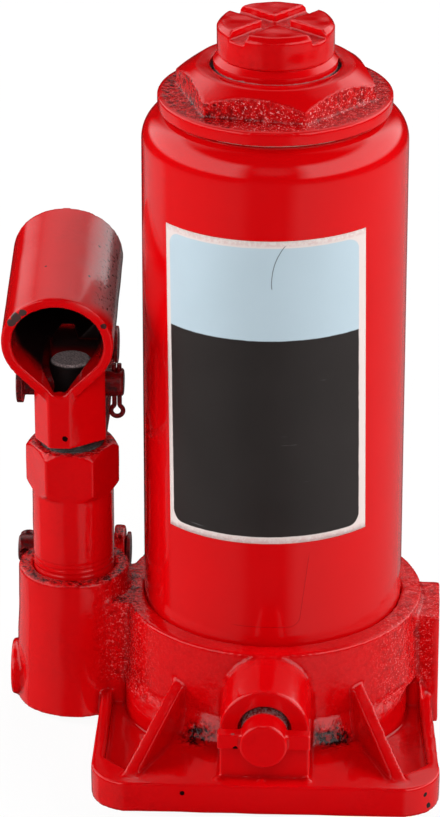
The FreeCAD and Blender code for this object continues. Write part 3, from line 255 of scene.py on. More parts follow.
def newPiece(name, mesh, finish, nodeName=None, body=None):
    piece = bpy.data.objects.new(name, mesh)
    bpy.context.scene.collection.objects.link(piece)
    mesh.materials.clear()
    mesh.materials.append(finish)
    mesh.shade_smooth()
    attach(piece, body or bodyOf[nodeName])
    if nodeName:
        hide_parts(nodeName)
    return piece


def remeshed(nodeName, voxel):
    source = bpy.data.objects.new("mould", nodes[nodeName].data.copy())
    bpy.context.scene.collection.objects.link(source)
    remesh = source.modifiers.new("voxels", "REMESH")
    remesh.mode = "VOXEL"
    remesh.voxel_size = voxel * mm
    depsgraph = bpy.context.evaluated_depsgraph_get()
    mesh = bpy.data.meshes.new_from_object(source.evaluated_get(depsgraph))
    bpy.data.objects.remove(source)
    return mesh


skin = {
    "waveSeed": 1, "pebbles": [(2.4, 0.6, 2), (1.2, 0.5, 3)],  # size, share and seed
    "edgeBend": 0.13, "bendRounds": 2, "zoneRounds": 3, "pitDepth": (0.05, 0.55),
}


def paintedSkin(name, nodeName, look, finish, zones=None, shape=None):
    # a CAD piece with the soft edges and uneven skin of thick paint over metal
    mesh = remeshed(nodeName, look["voxel"])
    edges = edgesOf(mesh)
    points = relaxed(pointsOf(mesh), edges, look["rounds"])
    setPoints(mesh, points)
    normals = normalsOf(mesh)
    bend = ((points - neighbourMean(points, edges)) * normals).sum(axis=1) / look["voxel"]
    bend = relaxed(bend, edges, skin["bendRounds"]) / skin["edgeBend"]
    values = {"cast": np.zeros(len(points)), "sootAndShade": np.zeros(len(points))}
    values.update(zones(points, normals) if zones else {})
    values = {k: np.clip(relaxed(v, edges, skin["zoneRounds"]), 0, 1) for k, v in values.items()}
    pebble = sum(share * lumps(points, size, seed) for size, share, seed in skin["pebbles"])
    wave = lumps(points, look["waveSize"], skin["waveSeed"])
    rise = look["wave"] * wave + look["pebble"] * values["cast"] * pebble
    if shape:
        rise += shape(points, normals)
    setPoints(mesh, points + normals * rise[:, None])
    values["edge"] = np.clip(bend, 0, 1)
    values["crevice"] = np.clip(-bend, 0, 1)
    values["pit"] = values["cast"] * softStep(-pebble, *skin["pitDepth"])
    for key, value in values.items():
        storeValue(mesh, key, value)
    print(name, len(mesh.vertices), "points")
    return newPiece(name, mesh, finish, nodeName)


def lathed(profile, segments):
    # a turned ring of mesh from a closed profile of (radius, height) points in mm
    turns = np.arange(segments) * (2 * math.pi / segments)
    rings = np.array([[(r * math.cos(t), r * math.sin(t), z) for t in turns] for r, z in profile])
    points = rings.reshape(-1, 3) * mm
    faces = []
    count = len(profile)
    for k in range(count):
        low, high = k * segments, (k + 1) % count * segments
        for j in range(segments):
            after = (j + 1) % segments
            faces.append((low + j, low + after, high + after, high + j))
    mesh = bpy.data.meshes.new("turned")
    mesh.from_pydata(points.tolist(), [], faces)
    mesh.validate()
    return mesh


def threadCut(along, turn, look):
    # depth of a thread between its two ends, from a place along it and a share of a turn
    wave = 0.5 + 0.5 * np.cos((along / look["pitch"] - turn) * 2 * math.pi)
    low, high = look["threadEnds"]
    fade = look["threadFade"]
    shown = softStep(along, low, low + fade) * (1 - softStep(along, high - fade, high))
    return look["threadDepth"] * wave * shown


paint = {
    "red": (0.55, 0.0004, 0.0014), "bright": (0.63, 0.0009, 0.0030), "deep": (0.20, 0.0002, 0.0007),
    "thinPaintAndHighlight": (0.86, 0.24, 0.24), "pit": (0.010, 0.0010, 0.0013), "glint": (0.92, 0.42, 0.42),
    "hollow": (0.006, 0.0016, 0.0018), "bare": (0.38, 0.20, 0.20), "dust": (0.27, 0.17, 0.17),
    "gloss": {"Coat Weight": 0.2, "Coat Roughness": 0.03, "IOR": 1.5},
    "roughness": 0.085, "roughSpread": 0.05, "roughMiddle": 0.4, "roughSize": 9, "castRough": 0.04,
    "toneSize": 26, "toneShare": 0.9, "streakSize": 5.5, "streakShare": 0.5, "brightShare": 0.3,
    "peelSize": 2.2, "peelDepth": 0.010, "peelRough": 0.4,
    "castSize": 1.15, "castDepth": 0.36, "gritSize": 0.55, "gritDepth": 0.10, "grainRough": 0.6,
    "lowGrain": (0.38, 0.55), "castShade": 0.45, "pitShade": 0.40, "creviceShade": 0.7,
    "sootAndShadeShare": 0.6, "sootAndShadeLevel": 0.5, "sootAndShadeFull": 0.75, "sootAndShadeGain": 2.4,
    "glintGrit": (0.55, 0.64), "glintGrain": (0.42, 0.56), "glintShare": 0.7,
    "wornAndLitEdge": (0.7, 1.1), "wornAndLitSize": 1.6, "wornAndLitPatch": (0.42, 0.60), "wornAndLitShare": 0.55,
    "dustAndSheenLevel": 0.55, "dustAndSheenGrit": 0.8,
    "fleckDust": (0.55, 1.0), "fleckGrain": (0.36, 0.44), "fleckShare": 0.8,
    "markGain": 1.5, "markGrain": 0.8, "markRough": 0.7, "markEdge": (0.0, 0.2),
    "hollowRough": 0.35, "bareSize": 0.6, "barePatch": (0.35, 0.65), "bareMetal": 0.4,
}
chipBlack = paint["pit"]


def redEnamel(name, marks=(), hollow=False, bare=False, dustAndSheen=False):
    # gloss enamel: uneven tone, orange peel, pebbly castings, small marks; painted shade in hollows and
    # creases, painted glints, edges paler from thin paint and painted highlight
    finish = newFinish(name)
    sockets = dict(paint["gloss"])
    tone = (finish.noise(paint["toneSize"], 3) - noiseMiddle) * paint["toneShare"]
    streak = (finish.noise(paint["streakSize"], 2) - noiseMiddle) * paint["streakShare"]
    colour = finish.blend(tone + streak + paint["brightShare"], paint["red"], paint["bright"])
    normal = finish.bump(finish.noise(paint["peelSize"], 2, paint["peelRough"]), paint["peelDepth"])
    uneven = finish.noise(paint["roughSize"], 3) - paint["roughMiddle"]
    rough = paint["roughness"] + paint["roughSpread"] * uneven
    cast, sootAndShade, pit = finish.stored("cast"), finish.stored("sootAndShade"), finish.stored("pit")
    edge, crevice = finish.stored("edge"), finish.stored("crevice")
    grain = finish.noise(paint["castSize"], 2, paint["grainRough"])
    grit = finish.noise(paint["gritSize"], 2, paint["grainRough"])
    low = 1 - grain.between(*paint["lowGrain"])
    # painted shade: darker red in the low parts of the grain, in the pits and in concave creases
    dark = cast * low * paint["castShade"] + pit * paint["pitShade"] + crevice * paint["creviceShade"]
    colour = finish.blend(dark.clipped(), colour, paint["deep"])
    # darker still where grit and shade are marked, black as a painted shadow in the corners by the arch
    sootyShade = sootAndShade * (low * paint["sootAndShadeShare"] + pit * paint["sootAndShadeShare"]) * (paint["sootAndShadeLevel"] + grit)
    black = sootyShade + (sootAndShade - paint["sootAndShadeFull"]).most(0) * paint["sootAndShadeGain"]
    colour = finish.blend(black.clipped(), colour, paint["pit"])
    glint = cast * cast * cast * (1 - sootAndShade)
    glint = glint * grit.between(*paint["glintGrit"]) * grain.between(*paint["glintGrain"])
    colour = finish.blend(glint * paint["glintShare"], colour, paint["glint"])
    # paler edges: thin paint and painted highlight
    patch = finish.noise(paint["wornAndLitSize"], 2).between(*paint["wornAndLitPatch"])
    wornAndLit = edge.between(*paint["wornAndLitEdge"]) * patch
    colour = finish.blend(wornAndLit * paint["wornAndLitShare"], colour, paint["thinPaintAndHighlight"])
    normal = finish.bump(grain * cast, paint["castDepth"], normal)
    normal = finish.bump(grit * cast, paint["gritDepth"], normal)
    rough = rough + cast * paint["castRough"]
    # grey dust, which also paints the sheen on the tube's flank, with dark flecks
    if dustAndSheen:
        dust = finish.stored("dust")
        cover = dust * (paint["dustAndSheenLevel"] + paint["dustAndSheenGrit"] * grit)
        colour = finish.blend(cover.clipped(), colour, paint["dust"])
        fleck = dust.between(*paint["fleckDust"]) * (1 - grain.between(*paint["fleckGrain"]))
        colour = finish.blend(fleck * paint["fleckShare"], colour, paint["pit"])
    for spot, radius, shade in marks:
        grainy = finish.noise(paint["markGrain"] * radius, 3, paint["markRough"])
        ragged = finish.near(spot, radius) * paint["markGain"] - grainy * paint["markGain"]
        colour = finish.blend(ragged.between(*paint["markEdge"]), colour, shade)
    # dark inside: painted shade, and bare steel in the socket
    if hollow:
        inside = finish.stored("inside")
        colour = finish.blend(inside, colour, paint["hollow"])
        rough = rough + inside * paint["hollowRough"]
    if bare:
        metal = finish.stored("bare")
        patch = finish.noise(paint["bareSize"], 2).between(*paint["barePatch"])
        colour = finish.blend(metal, colour, finish.blend(patch, paint["deep"], paint["bare"]))
        sockets["Metallic"] = metal * paint["bareMetal"]
    return finish.surface(colour, Roughness=rough.clipped(), Normal=normal, **sockets)


turnedLook = {
    "lineSize": 0.35, "lineShare": 0.45, "lineDepth": 0.012,
    "cloudSize": 11, "cloudShare": 0.3, "cloudRough": 0.6,
    "dark": 0.72, "oil": (0.56, 0.72), "oilShare": 0.45, "oilRough": 0.1, "stain": (0.10, 0.05, 0.03),
    "dentSize": 1.2, "dentDepth": 0.01, "roughSpread": 0.22, "roughMiddle": 0.4, "metallic": 0.5,
}


def bareSteel(name, colour, roughness, brush):
    # turned steel: fine tool lines, oil stain and small dents
    look = turnedLook
    finish = newFinish(name)
    stretch = finish.node("Mapping", None, {"Vector": finish.place(), "Scale": brush})
    lines = finish.noise(look["lineSize"], 3, where=stretch)
    cloud = finish.noise(look["cloudSize"], 3, look["cloudRough"])
    tone = finish.shades(lines * look["lineShare"] + cloud * look["cloudShare"], colour, look["dark"], 1)
    oil = cloud.between(*look["oil"])
    tone = finish.blend(oil * look["oilShare"], tone, look["stain"])
    normal = finish.bump(lines, look["lineDepth"])
    normal = finish.bump(finish.noise(look["dentSize"], 2), look["dentDepth"], normal)
    rough = roughness + look["roughSpread"] * (lines - look["roughMiddle"]) + oil * look["oilRough"]
    return finish.surface(tone, Metallic=look["metallic"], Normal=normal, Roughness=rough.clipped())


dullLook = {
    "speckSize": 0.55, "speckRough": 0.7, "speck": (0.45, 0.62), "dark": 0.45, "depth": 0.06,
    "cloudSize": 6, "cloud": (0.55, 0.75), "cloudShare": 0.5, "stain": (0.05, 0.02, 0.02),
    "roughness": 0.42, "roughSpread": 0.3, "metallic": 0.55,
}


def speckledSteel(name, colour):
    # dull phosphated steel with pale and dark specks
    look = dullLook
    finish = newFinish(name)
    speck = finish.noise(look["speckSize"], 3, look["speckRough"])
    cloud = finish.noise(look["cloudSize"], 2).between(*look["cloud"])
    tone = finish.shades(speck.between(*look["speck"]), colour, look["dark"], 1)
    tone = finish.blend(cloud * look["cloudShare"], tone, look["stain"])
    rough = look["roughness"] + look["roughSpread"] * (speck - noiseMiddle)
    normal = finish.bump(speck, look["depth"])
    return finish.surface(tone, Metallic=look["metallic"], Roughness=rough.clipped(), Normal=normal)


rubberLook = {
    "grainSize": 0.5, "grainRough": 0.6, "grainShare": 0.2, "depth": 0.03, "dustSize": 5, "dust": (0.5, 0.8),
    "dustShare": 0.35, "dustTone": 0.05, "roughness": 0.55, "roughSpread": 0.2,
}


def softRubber(name, colour):
    look = rubberLook
    finish = newFinish(name)
    grain = finish.noise(look["grainSize"], 3, look["grainRough"])
    dust = finish.noise(look["dustSize"], 2).between(*look["dust"])
    pale = [c + look["dustTone"] for c in colour]
    tone = finish.blend(dust * look["dustShare"] + grain * look["grainShare"], colour, pale)
    rough = look["roughness"] + look["roughSpread"] * grain
    return finish.surface(tone, Roughness=rough.clipped(), Normal=finish.bump(grain, look["depth"]))


nylonLook = {
    "grainSize": 0.8, "depth": 0.015, "cloudSize": 6, "cloudShare": 0.8, "roughness": 0.4, "roughSpread": 0.2,
}


def moulded(name, colour, shade):
    look = nylonLook
    finish = newFinish(name)
    grain = finish.noise(look["grainSize"], 2)
    tone = finish.blend(finish.noise(look["cloudSize"], 3) * look["cloudShare"], colour, shade)
    rough = look["roughness"] + look["roughSpread"] * grain
    return finish.surface(tone, Roughness=rough.clipped(), Normal=finish.bump(grain, look["depth"]))


sprayLook = {
    "speckSize": 1.3, "speckRough": 0.65, "cover": (0.3, 0.55), "depth": 0.05, "bare": (0.012, 0.002, 0.0025),
    "coat": (0.10, 0.0010, 0.002), "wornAndLit": (0.28, 0.05, 0.05), "wornAndLitGain": 1.2, "wornAndLitFrom": 0.45,
    "roughness": 0.24, "bareRough": 0.25, "gloss": {"Coat Weight": 0.25},
}


def sprayedSteel(name):
    # steel with a thin dark coat of the same red, worn to metal at its edges, where the paler red is wear and
    # painted highlight
    look = sprayLook
    finish = newFinish(name)
    speck = finish.noise(look["speckSize"], 3, look["speckRough"])
    cover = speck.between(*look["cover"])
    tone = finish.blend(cover, look["bare"], look["coat"])
    # paler red edges: wear and painted highlight
    wornAndLit = finish.stored("edge") * look["wornAndLitGain"] - look["wornAndLitFrom"] + (speck - noiseMiddle)
    tone = finish.blend(wornAndLit.clipped(), tone, look["wornAndLit"])
    rough = look["roughness"] + look["bareRough"] * (1 - cover)
    normal = finish.bump(speck, look["depth"])
    return finish.surface(tone, Roughness=rough.clipped(), Normal=normal, **look["gloss"])


tankLow, tankHigh = [np.array(corner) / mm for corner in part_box("oil_tank")]
tank = {
    "radius": tankHigh[0], "bottom": tankLow[2], "top": tankHigh[2],
    "wall": 2.5, "shoulder": 9.0, "neck": 27.0,
    "segments": 256, "arcSteps": 18, "rings": 60, "neckRings": 4,
    "toneSize": 30, "toneShare": 0.8, "brightShare": 0.25, "roughSize": 12,
    "peelSize": 2.4, "peelRough": 0.4, "peelDepth": 0.007, "grainSize": 0.5, "grainDepth": 0.0022,
    "crease": {"side": 8.8, "lean": 0.13, "from": 44.0, "to": 68.0, "topFade": 3,
               "left": -12.0, "leftFade": 4, "corner": 3.0,
               "width": 0.14, "core": 0.3, "share": 0.55, "depth": 0.05},
    "specks": {"spacing": 7.0, "size": (0.028, 0.05), "patchSize": 11, "patch": (0.56, 0.6), "share": 0.7},
}


def tankShell():
    radius, top = tank["radius"], tank["top"]
    bend = radius - tank["shoulder"]
    level = top - tank["shoulder"]
    quarter = [k / tank["arcSteps"] * math.pi / 2 for k in range(tank["arcSteps"] + 1)]

    def arc(size, turns):
        return [(bend + size * math.cos(t), level + size * math.sin(t)) for t in turns]

    outside = [(radius, z) for z in np.linspace(tank["bottom"], level, tank["rings"])[:-1]]
    outside += arc(tank["shoulder"], quarter)
    outside += [(r, top) for r in np.linspace(bend, tank["neck"], tank["neckRings"])[1:]]
    inside = [(tank["neck"], top - tank["wall"])]
    inside += arc(tank["shoulder"] - tank["wall"], reversed(quarter))
    inside += [(radius - tank["wall"], tank["bottom"])]
    newPiece("tankShell", lathed(outside + inside, tank["segments"]), tankEnamel(), "oil_tank")
    print("tank made")


def tankEnamel():
    # smooth sprayed tube with a few specks and one faint crease below the label
    crease, specks = tank["crease"], tank["specks"]
    finish = newFinish("tankEnamel")
    tone = (finish.noise(tank["toneSize"], 3) - noiseMiddle) * tank["toneShare"] + tank["brightShare"]
    colour = finish.blend(tone, paint["red"], paint["bright"])
    where = finish.place()
    height = finish.axis("Z", where) / mm
    along = finish.turn(where) * tank["radius"]
    right = along - crease["side"] - (height - crease["from"]) * crease["lean"] + crease["corner"]
    below = crease["from"] + crease["corner"] - height
    outX, outZ = right.most(0), below.most(0)
    gap = abs((outX * outX + outZ * outZ) ** 0.5 - crease["corner"])
    kept = 1 - height.between(crease["to"] - crease["topFade"], crease["to"])
    kept = kept * along.between(crease["left"], crease["left"] + crease["leftFade"])
    line = (1 - gap.between(crease["core"] * crease["width"], crease["width"])) * kept
    colour = finish.blend(line * crease["share"], colour, paint["deep"])
    speck = 1 - finish.cells(specks["spacing"]).between(*specks["size"])
    speck = speck * finish.noise(specks["patchSize"], 1).between(*specks["patch"])
    colour = finish.blend(speck * specks["share"], colour, paint["deep"])
    normal = finish.bump(finish.noise(tank["peelSize"], 2, tank["peelRough"]), tank["peelDepth"])
    normal = finish.bump(finish.noise(tank["grainSize"], 2), tank["grainDepth"], normal)
    normal = finish.bump(line, crease["depth"], normal)
    uneven = finish.noise(tank["roughSize"], 3) - paint["roughMiddle"]
    rough = paint["roughness"] + paint["roughSpread"] * uneven
    return finish.surface(colour, Roughness=rough.clipped(), Normal=normal, **paint["gloss"])


label = {
    "middle": -2.6, "reach": 63.0, "bottom": 70.9, "top": 164.4, "tilt": 0.9, "lift": 0.07, "thick": 0.09,
    "columns": 96, "rows": 72, "border": 2.1, "shift": -0.45, "corner": 3.6, "split": 134.2,
    "cream": (0.72, 0.63, 0.60), "creamShades": (0.86, 1.06), "foilSize": 1.1, "foilRough": 0.7,
    "grime": (0.42, 0.17, 0.17), "grimeEnds": (0.1, 0.9), "grimeShare": 0.28, "grimeLevel": 0.06,
    "grimePatch": (0.36, 0.60), "blue": (0.432, 0.540, 0.606), "blueShades": (0.94, 1.05), "blueSize": 30,
    "black": (0.022, 0.0175, 0.0165), "blackShades": (0.8, 1.25), "blackSize": 16,
    "printEdge": (-0.15, 0.15), "wobbleSize": 3, "wobble": 0.25,
    "cut": {"along": 20.7, "height": 151.8, "radius": 17.96, "from": 149.7, "to": 163.3, "fade": 0.6,
            "side": (9, 10), "width": (0.06, 0.20), "share": 0.8, "tone": (0.045, 0.045, 0.055)},
    "rub": {"spread": (0.05, 0.9, 0.02), "scale": 1.3, "line": (0.70, 0.74), "patchSize": 14,
            "patch": (0.60, 0.66), "share": 0.22, "rough": 0.2, "tone": (0.30, 0.30, 0.31)},
    "roughness": 0.34, "roughSpread": 0.14, "roughSize": 12, "waveSize": 9, "waveDepth": 0.02,
    "grainSize": 0.6, "grainDepth": 0.006,
}
label["centre"] = (label["bottom"] + label["top"]) / 2


def labelSheet():
    # a bare printed film around the front of the tank, stuck on a little askew
    inner = tank["radius"] + label["lift"]
    outer = inner + label["thick"]
    columns, rows = label["columns"], label["rows"]
    tilt = math.radians(label["tilt"])
    points, flat = [], []
    for radius in (outer, inner):
        for height in np.linspace(label["bottom"], label["top"], rows):
            rise = height - label["centre"]
            for along in np.linspace(-0.5, 0.5, columns) * label["reach"]:
                across = along * math.cos(tilt) - rise * math.sin(tilt)
                level = label["centre"] + rise * math.cos(tilt) + along * math.sin(tilt)
                turn = math.radians(label["middle"]) + across / tank["radius"]
                points.append((radius * math.sin(turn) * mm, -radius * math.cos(turn) * mm, level * mm))
                flat.append((along, height))
    under = columns * rows
    faces = []
    for j in range(rows - 1):
        for i in range(columns - 1):
            a = j * columns + i
            faces.append((a, a + 1, a + columns + 1, a + columns))
            faces.append((under + a, under + a + columns, under + a + columns + 1, under + a + 1))
    rim = list(range(columns)) + [j * columns + columns - 1 for j in range(1, rows)]
    rim += [(rows - 1) * columns + i for i in range(columns - 2, -1, -1)]
    rim += [j * columns for j in range(rows - 2, 0, -1)]
    for here, after in zip(rim, rim[1:] + rim[:1]):
        faces.append((here, under + here, under + after, after))
    mesh = bpy.data.meshes.new("label")
    mesh.from_pydata(points, [], faces)
    mesh.validate()
    flat = np.array(flat)
    storeValue(mesh, "along", flat[:, 0])
    storeValue(mesh, "height", flat[:, 1])
    newPiece("labelSheet", mesh, labelFilm(), body="base")
    print("label made")


def labelFilm():
    # pale border, blue band over a black one, one curved cut and faint rubbed lines
    cut, rub = label["cut"], label["rub"]
    finish = newFinish("labelFilm")
    along, height = finish.stored("along"), finish.stored("height")
    halfWide = label["reach"] / 2 - label["border"] - label["corner"]
    halfHigh = (label["top"] - label["bottom"]) / 2 - label["border"] - label["corner"]
    wobble = (finish.noise(label["wobbleSize"], 2) - noiseMiddle) * label["wobble"]
    fromCentre = abs(height - label["centre"])
    overX = (abs(along - label["shift"]) - halfWide).most(0)
    overZ = (fromCentre - halfHigh).most(0)
    gap = (overX * overX + overZ * overZ) ** 0.5 - label["corner"] + wobble
    panel = 1 - gap.between(*label["printEdge"])
    dark = 1 - (height + wobble - label["split"]).between(*label["printEdge"])
    blue = finish.shades(finish.noise(label["blueSize"], 2), label["blue"], *label["blueShades"])
    black = finish.shades(finish.noise(label["blackSize"], 3), label["black"], *label["blackShades"])
    foil = finish.noise(label["foilSize"], 3, label["foilRough"])
    cream = finish.shades(foil, label["cream"], *label["creamShades"])
    ends = (fromCentre - halfHigh - label["corner"]).between(*label["grimeEnds"])
    grimy = (ends * label["grimeShare"] + label["grimeLevel"]) * foil.between(*label["grimePatch"])
    cream = finish.blend(grimy, cream, label["grime"])
    tone = finish.blend(panel, cream, finish.blend(dark, blue, black))
    gapX, gapZ = along - cut["along"], height - cut["height"]
    line = 1 - abs((gapX * gapX + gapZ * gapZ) ** 0.5 - cut["radius"] + wobble).between(*cut["width"])
    line = line * height.between(cut["from"], cut["from"] + cut["fade"])
    line = line * (1 - height.between(cut["to"] - cut["fade"], cut["to"])) * (1 - along.between(*cut["side"]))
    tone = finish.blend(line * cut["share"], tone, cut["tone"])
    wide, tall, deep = rub["spread"]
    spread = finish.node("CombineXYZ", None, {"X": along * wide, "Y": height * tall, "Z": along * deep})
    stroke = finish.node("TexNoise", None, {"Vector": spread, "Scale": rub["scale"], "Detail": 3.0})
    rubbed = stroke.between(*rub["line"]) * finish.noise(rub["patchSize"], 2).between(*rub["patch"])
    tone = finish.blend(rubbed * rub["share"], tone, rub["tone"])
    uneven = label["roughSpread"] * finish.noise(label["roughSize"], 3)
    rough = label["roughness"] + uneven + rubbed * rub["rough"]
    normal = finish.bump(finish.noise(label["waveSize"], 2), label["waveDepth"])
    normal = finish.bump(finish.noise(label["grainSize"], 2), label["grainDepth"], normal)
    return finish.surface(tone, Roughness=rough.clipped(), Normal=normal)


base = {
    "voxel": 0.55, "rounds": 4, "wave": 0.13, "waveSize": 8.0, "pebble": 0.20,
    "pump": -59.0, "upward": (0.55, 0.85), "patch": (0.10, 0.25, 13, 5),  # level, spread, size and seed
    "collarInner": (37.6, 38.6), "collarOuter": (48.5, 50.5), "collarFoot": (11.5, 14.0),
    "rightSide": (26, 38), "leftSide": (31, 40), "webFrom": (36, 41), "webTop": (35.7, 37.2),
    "webSide": (34, 39), "webSideEnd": (48, 56), "webSideFoot": (10, 14),
    "bossEdge": (16.0, 17.5), "bossTop": (43.0, 44.4), "padFrom": (41, 43), "padTop": (33.0, 34.2),
    "cast": {"collar": 0.28, "collarSides": 0.4, "webSide": 0.55, "boss": 0.35, "pad": 0.7},
    "sootAndShade": {"collar": 0.12, "web": 0.84, "boss": 0.08, "pad": 0.15},
    "shadowCorners": [(-21.0, -43.2, 10.4), (-17.5, -41.0, 10.8), (16.0, -42.5, 10.4), (20.5, -42.0, 10.6)],
    "shadowCornerSize": 6.5,
    "marks": [((45.8, -66.2, 6.2), 1.5, chipBlack), ((46.6, -65.2, 2.2), 1.9, chipBlack),
              ((-23.3, -69.8, 6.6), 1.2, chipBlack)],
    "drips": [(-13.3, -66.0, 9.8), (-0.8, -66.6, 9.6), (12.4, -66.0, 9.8)], "dripSize": 1.7, "dripRise": 0.7,
}


def baseZones(points, normals):
    # sand-cast skin on the collar, the web and the tops of the bosses; dark grit on them, and black painted
    # shadow in the corners by the arch
    x, y, z = points.T
    cast, sootAndShade = base["cast"], base["sootAndShade"]
    radius = np.hypot(x, y)
    ring = softStep(radius, *base["collarInner"]) * softStep(z, *base["collarFoot"])
    ring *= 1 - softStep(radius, *base["collarOuter"])
    sides = np.maximum(softStep(x, *base["rightSide"]), softStep(-x, *base["leftSide"]))
    web = softStep(-x, *base["webFrom"]) * softStep(z, *base["webTop"])
    web *= softStep(normals[:, 2], *base["upward"])
    webSide = softStep(-x, *base["webSide"]) * (1 - softStep(-x, *base["webSideEnd"]))
    webSide *= softStep(z, *base["webSideFoot"])
    boss = 1 - softStep(np.hypot(x - base["pump"], y), *base["bossEdge"])
    boss *= softStep(z, *base["bossTop"])
    pad = softStep(x, *base["padFrom"]) * softStep(z, *base["padTop"])
    corners = np.maximum.reduce([around(points, spot, base["shadowCornerSize"]) for spot in base["shadowCorners"]])
    grain = [ring * (cast["collar"] + cast["collarSides"] * sides), web, cast["webSide"] * webSide,
             cast["boss"] * boss, cast["pad"] * pad, corners, patches(points, *base["patch"])]
    dirt = [sootAndShade["collar"] * ring * sides, sootAndShade["web"] * web, sootAndShade["boss"] * boss, sootAndShade["pad"] * pad, corners]
    return {"cast": np.maximum.reduce(grain), "sootAndShade": np.maximum.reduce(dirt)}


def baseDrips(points, normals):
    return base["dripRise"] * sum(around(points, spot, base["dripSize"]) for spot in base["drips"])


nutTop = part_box("top_nut")[1][2] / mm
nut = {
    "voxel": 0.40, "rounds": 4, "wave": 0.09, "waveSize": 6.0, "pebble": 0.20,
    "hexHeight": 8.8, "hexInner": (21.5, 23.0), "flangeEdge": (32.0, 32.7), "footFade": (-1, 0),
    "crownTilt": (0.30, 0.55), "crownRagged": 0.12, "crownSize": 2.6, "crownSeed": 9, "crownFrom": (1, 2),
    "left": (5, 18), "right": (10, 22), "back": (2, 14),
    "sootAndShade": {"left": 0.7, "right": 0.3, "back": 0.6, "all": 0.08},
}


def nutZones(points, normals):
    # rough hexagon and flange under a smooth crown, blackest at the left and the back
    x, y, z = points.T
    sootAndShade = nut["sootAndShade"]
    radius = np.hypot(x, y)
    above = z - (nutTop - nut["hexHeight"])
    ragged = nut["crownRagged"] * lumps(points, nut["crownSize"], nut["crownSeed"])
    crown = softStep(normals[:, 2] + ragged, *nut["crownTilt"]) * softStep(above, *nut["crownFrom"])
    cast = softStep(radius, *nut["hexInner"]) * (1 - crown)
    cast *= (1 - softStep(radius, *nut["flangeEdge"])) * softStep(above, *nut["footFade"])
    dirt = [sootAndShade["left"] * softStep(-x, *nut["left"]), sootAndShade["right"] * softStep(x, *nut["right"]),
            sootAndShade["back"] * softStep(y, *nut["back"]), np.full(len(x), sootAndShade["all"])]
    return {"cast": cast, "sootAndShade": cast * np.maximum.reduce(dirt)}


barrel = {
    "voxel": 0.42, "rounds": 4, "wave": 0.06, "waveSize": 5.0, "pebble": 0.16,
    "threadEnds": (44.6, 49.6), "threadFade": 0.6, "pitch": 1.6,
    "threadDepth": 0.34, "threadFrom": (10.5, 11.2),
    "bore": (7.0, 7.5), "boreRoom": 0.2, "ledge": (80.0, 81.0), "ledgeUp": (0.6, 0.9), "ledgeSootAndShade": 0.7,
    "patch": (0.08, 0.2, 9, 7),
}


def barrelShape(points, normals):
    # a thread above the boss, and a bore with room for the plunger's seal
    x, y, z = points.T
    out = np.hypot(x - base["pump"], y)
    lead = np.arctan2(y, x - base["pump"]) / (2 * math.pi)
    thread = threadCut(z, lead, barrel) * softStep(out, *barrel["threadFrom"])
    return -thread - barrel["boreRoom"] * (1 - softStep(out, *barrel["bore"]))


def barrelZones(points, normals):
    # gritty ledge around the bracket, darker from grit and painted shade
    ledge = softStep(normals[:, 2], *barrel["ledgeUp"]) * softStep(points[:, 2], *barrel["ledge"])
    return {"cast": np.maximum(ledge, patches(points, *barrel["patch"])), "sootAndShade": barrel["ledgeSootAndShade"] * ledge}


handleBore = next(mount for mount in frame["record"]["mounts"] if mount["name"] == "handle_bore")
mouthGrey, mouthRed = (0.060, 0.030, 0.028), (0.050, 0.012, 0.012)
socket = {
    "voxel": 0.45, "rounds": 3, "wave": 0.10, "waveSize": 9.0, "pebble": 0.10, "patch": (0.04, 0.14, 8, 11),
    "mouth": np.array(handleBore["pos_m"]) / mm, "inward": -np.array(handleBore["axis"]),
    "redDepth": (3.0, 11.0), "redRagged": 1.2, "redSize": 3, "redSeed": 6, "facing": (0.5, 2.0),
    "boreEnd": (44.8, 45.4), "endWall": (38.8, 41.8), "endFacing": (0.5, 0.9),
    "bracket": (-59.0, 5.0), "roof": (129.0, 130.0), "roomFrom": (-9, -5),
    "sheenDustFrom": -57.0, "sheenDustTo": -47.0, "sheenDustRagged": 1.2, "dustSize": 6, "sheenDustSeed": 8,
    "sheenDustHeight": (118, 126), "sheenDustLean": 0.8, "sheenDustDepth": (2, 9), "sheenDustOut": (0, 1), "sheenDustCast": 0.25,
    "marks": [
        ((-74.3, -18.5, 129.9), 2.2, mouthGrey), ((-72.9, -18.9, 131.8), 2.6, mouthGrey),
        ((-71.0, -19.2, 133.4), 1.9, mouthGrey), ((-48.0, -18.5, 129.2), 1.7, mouthRed),
        ((-51.4, 12.0, 141.1), 0.9, chipBlack), ((-53.1, -4.7, 138.7), 0.9, chipBlack),
        ((-65.5, -3.4, 141.0), 0.8, chipBlack), ((-60.0, -13.6, 91.4), 1.4, chipBlack),
    ],
}


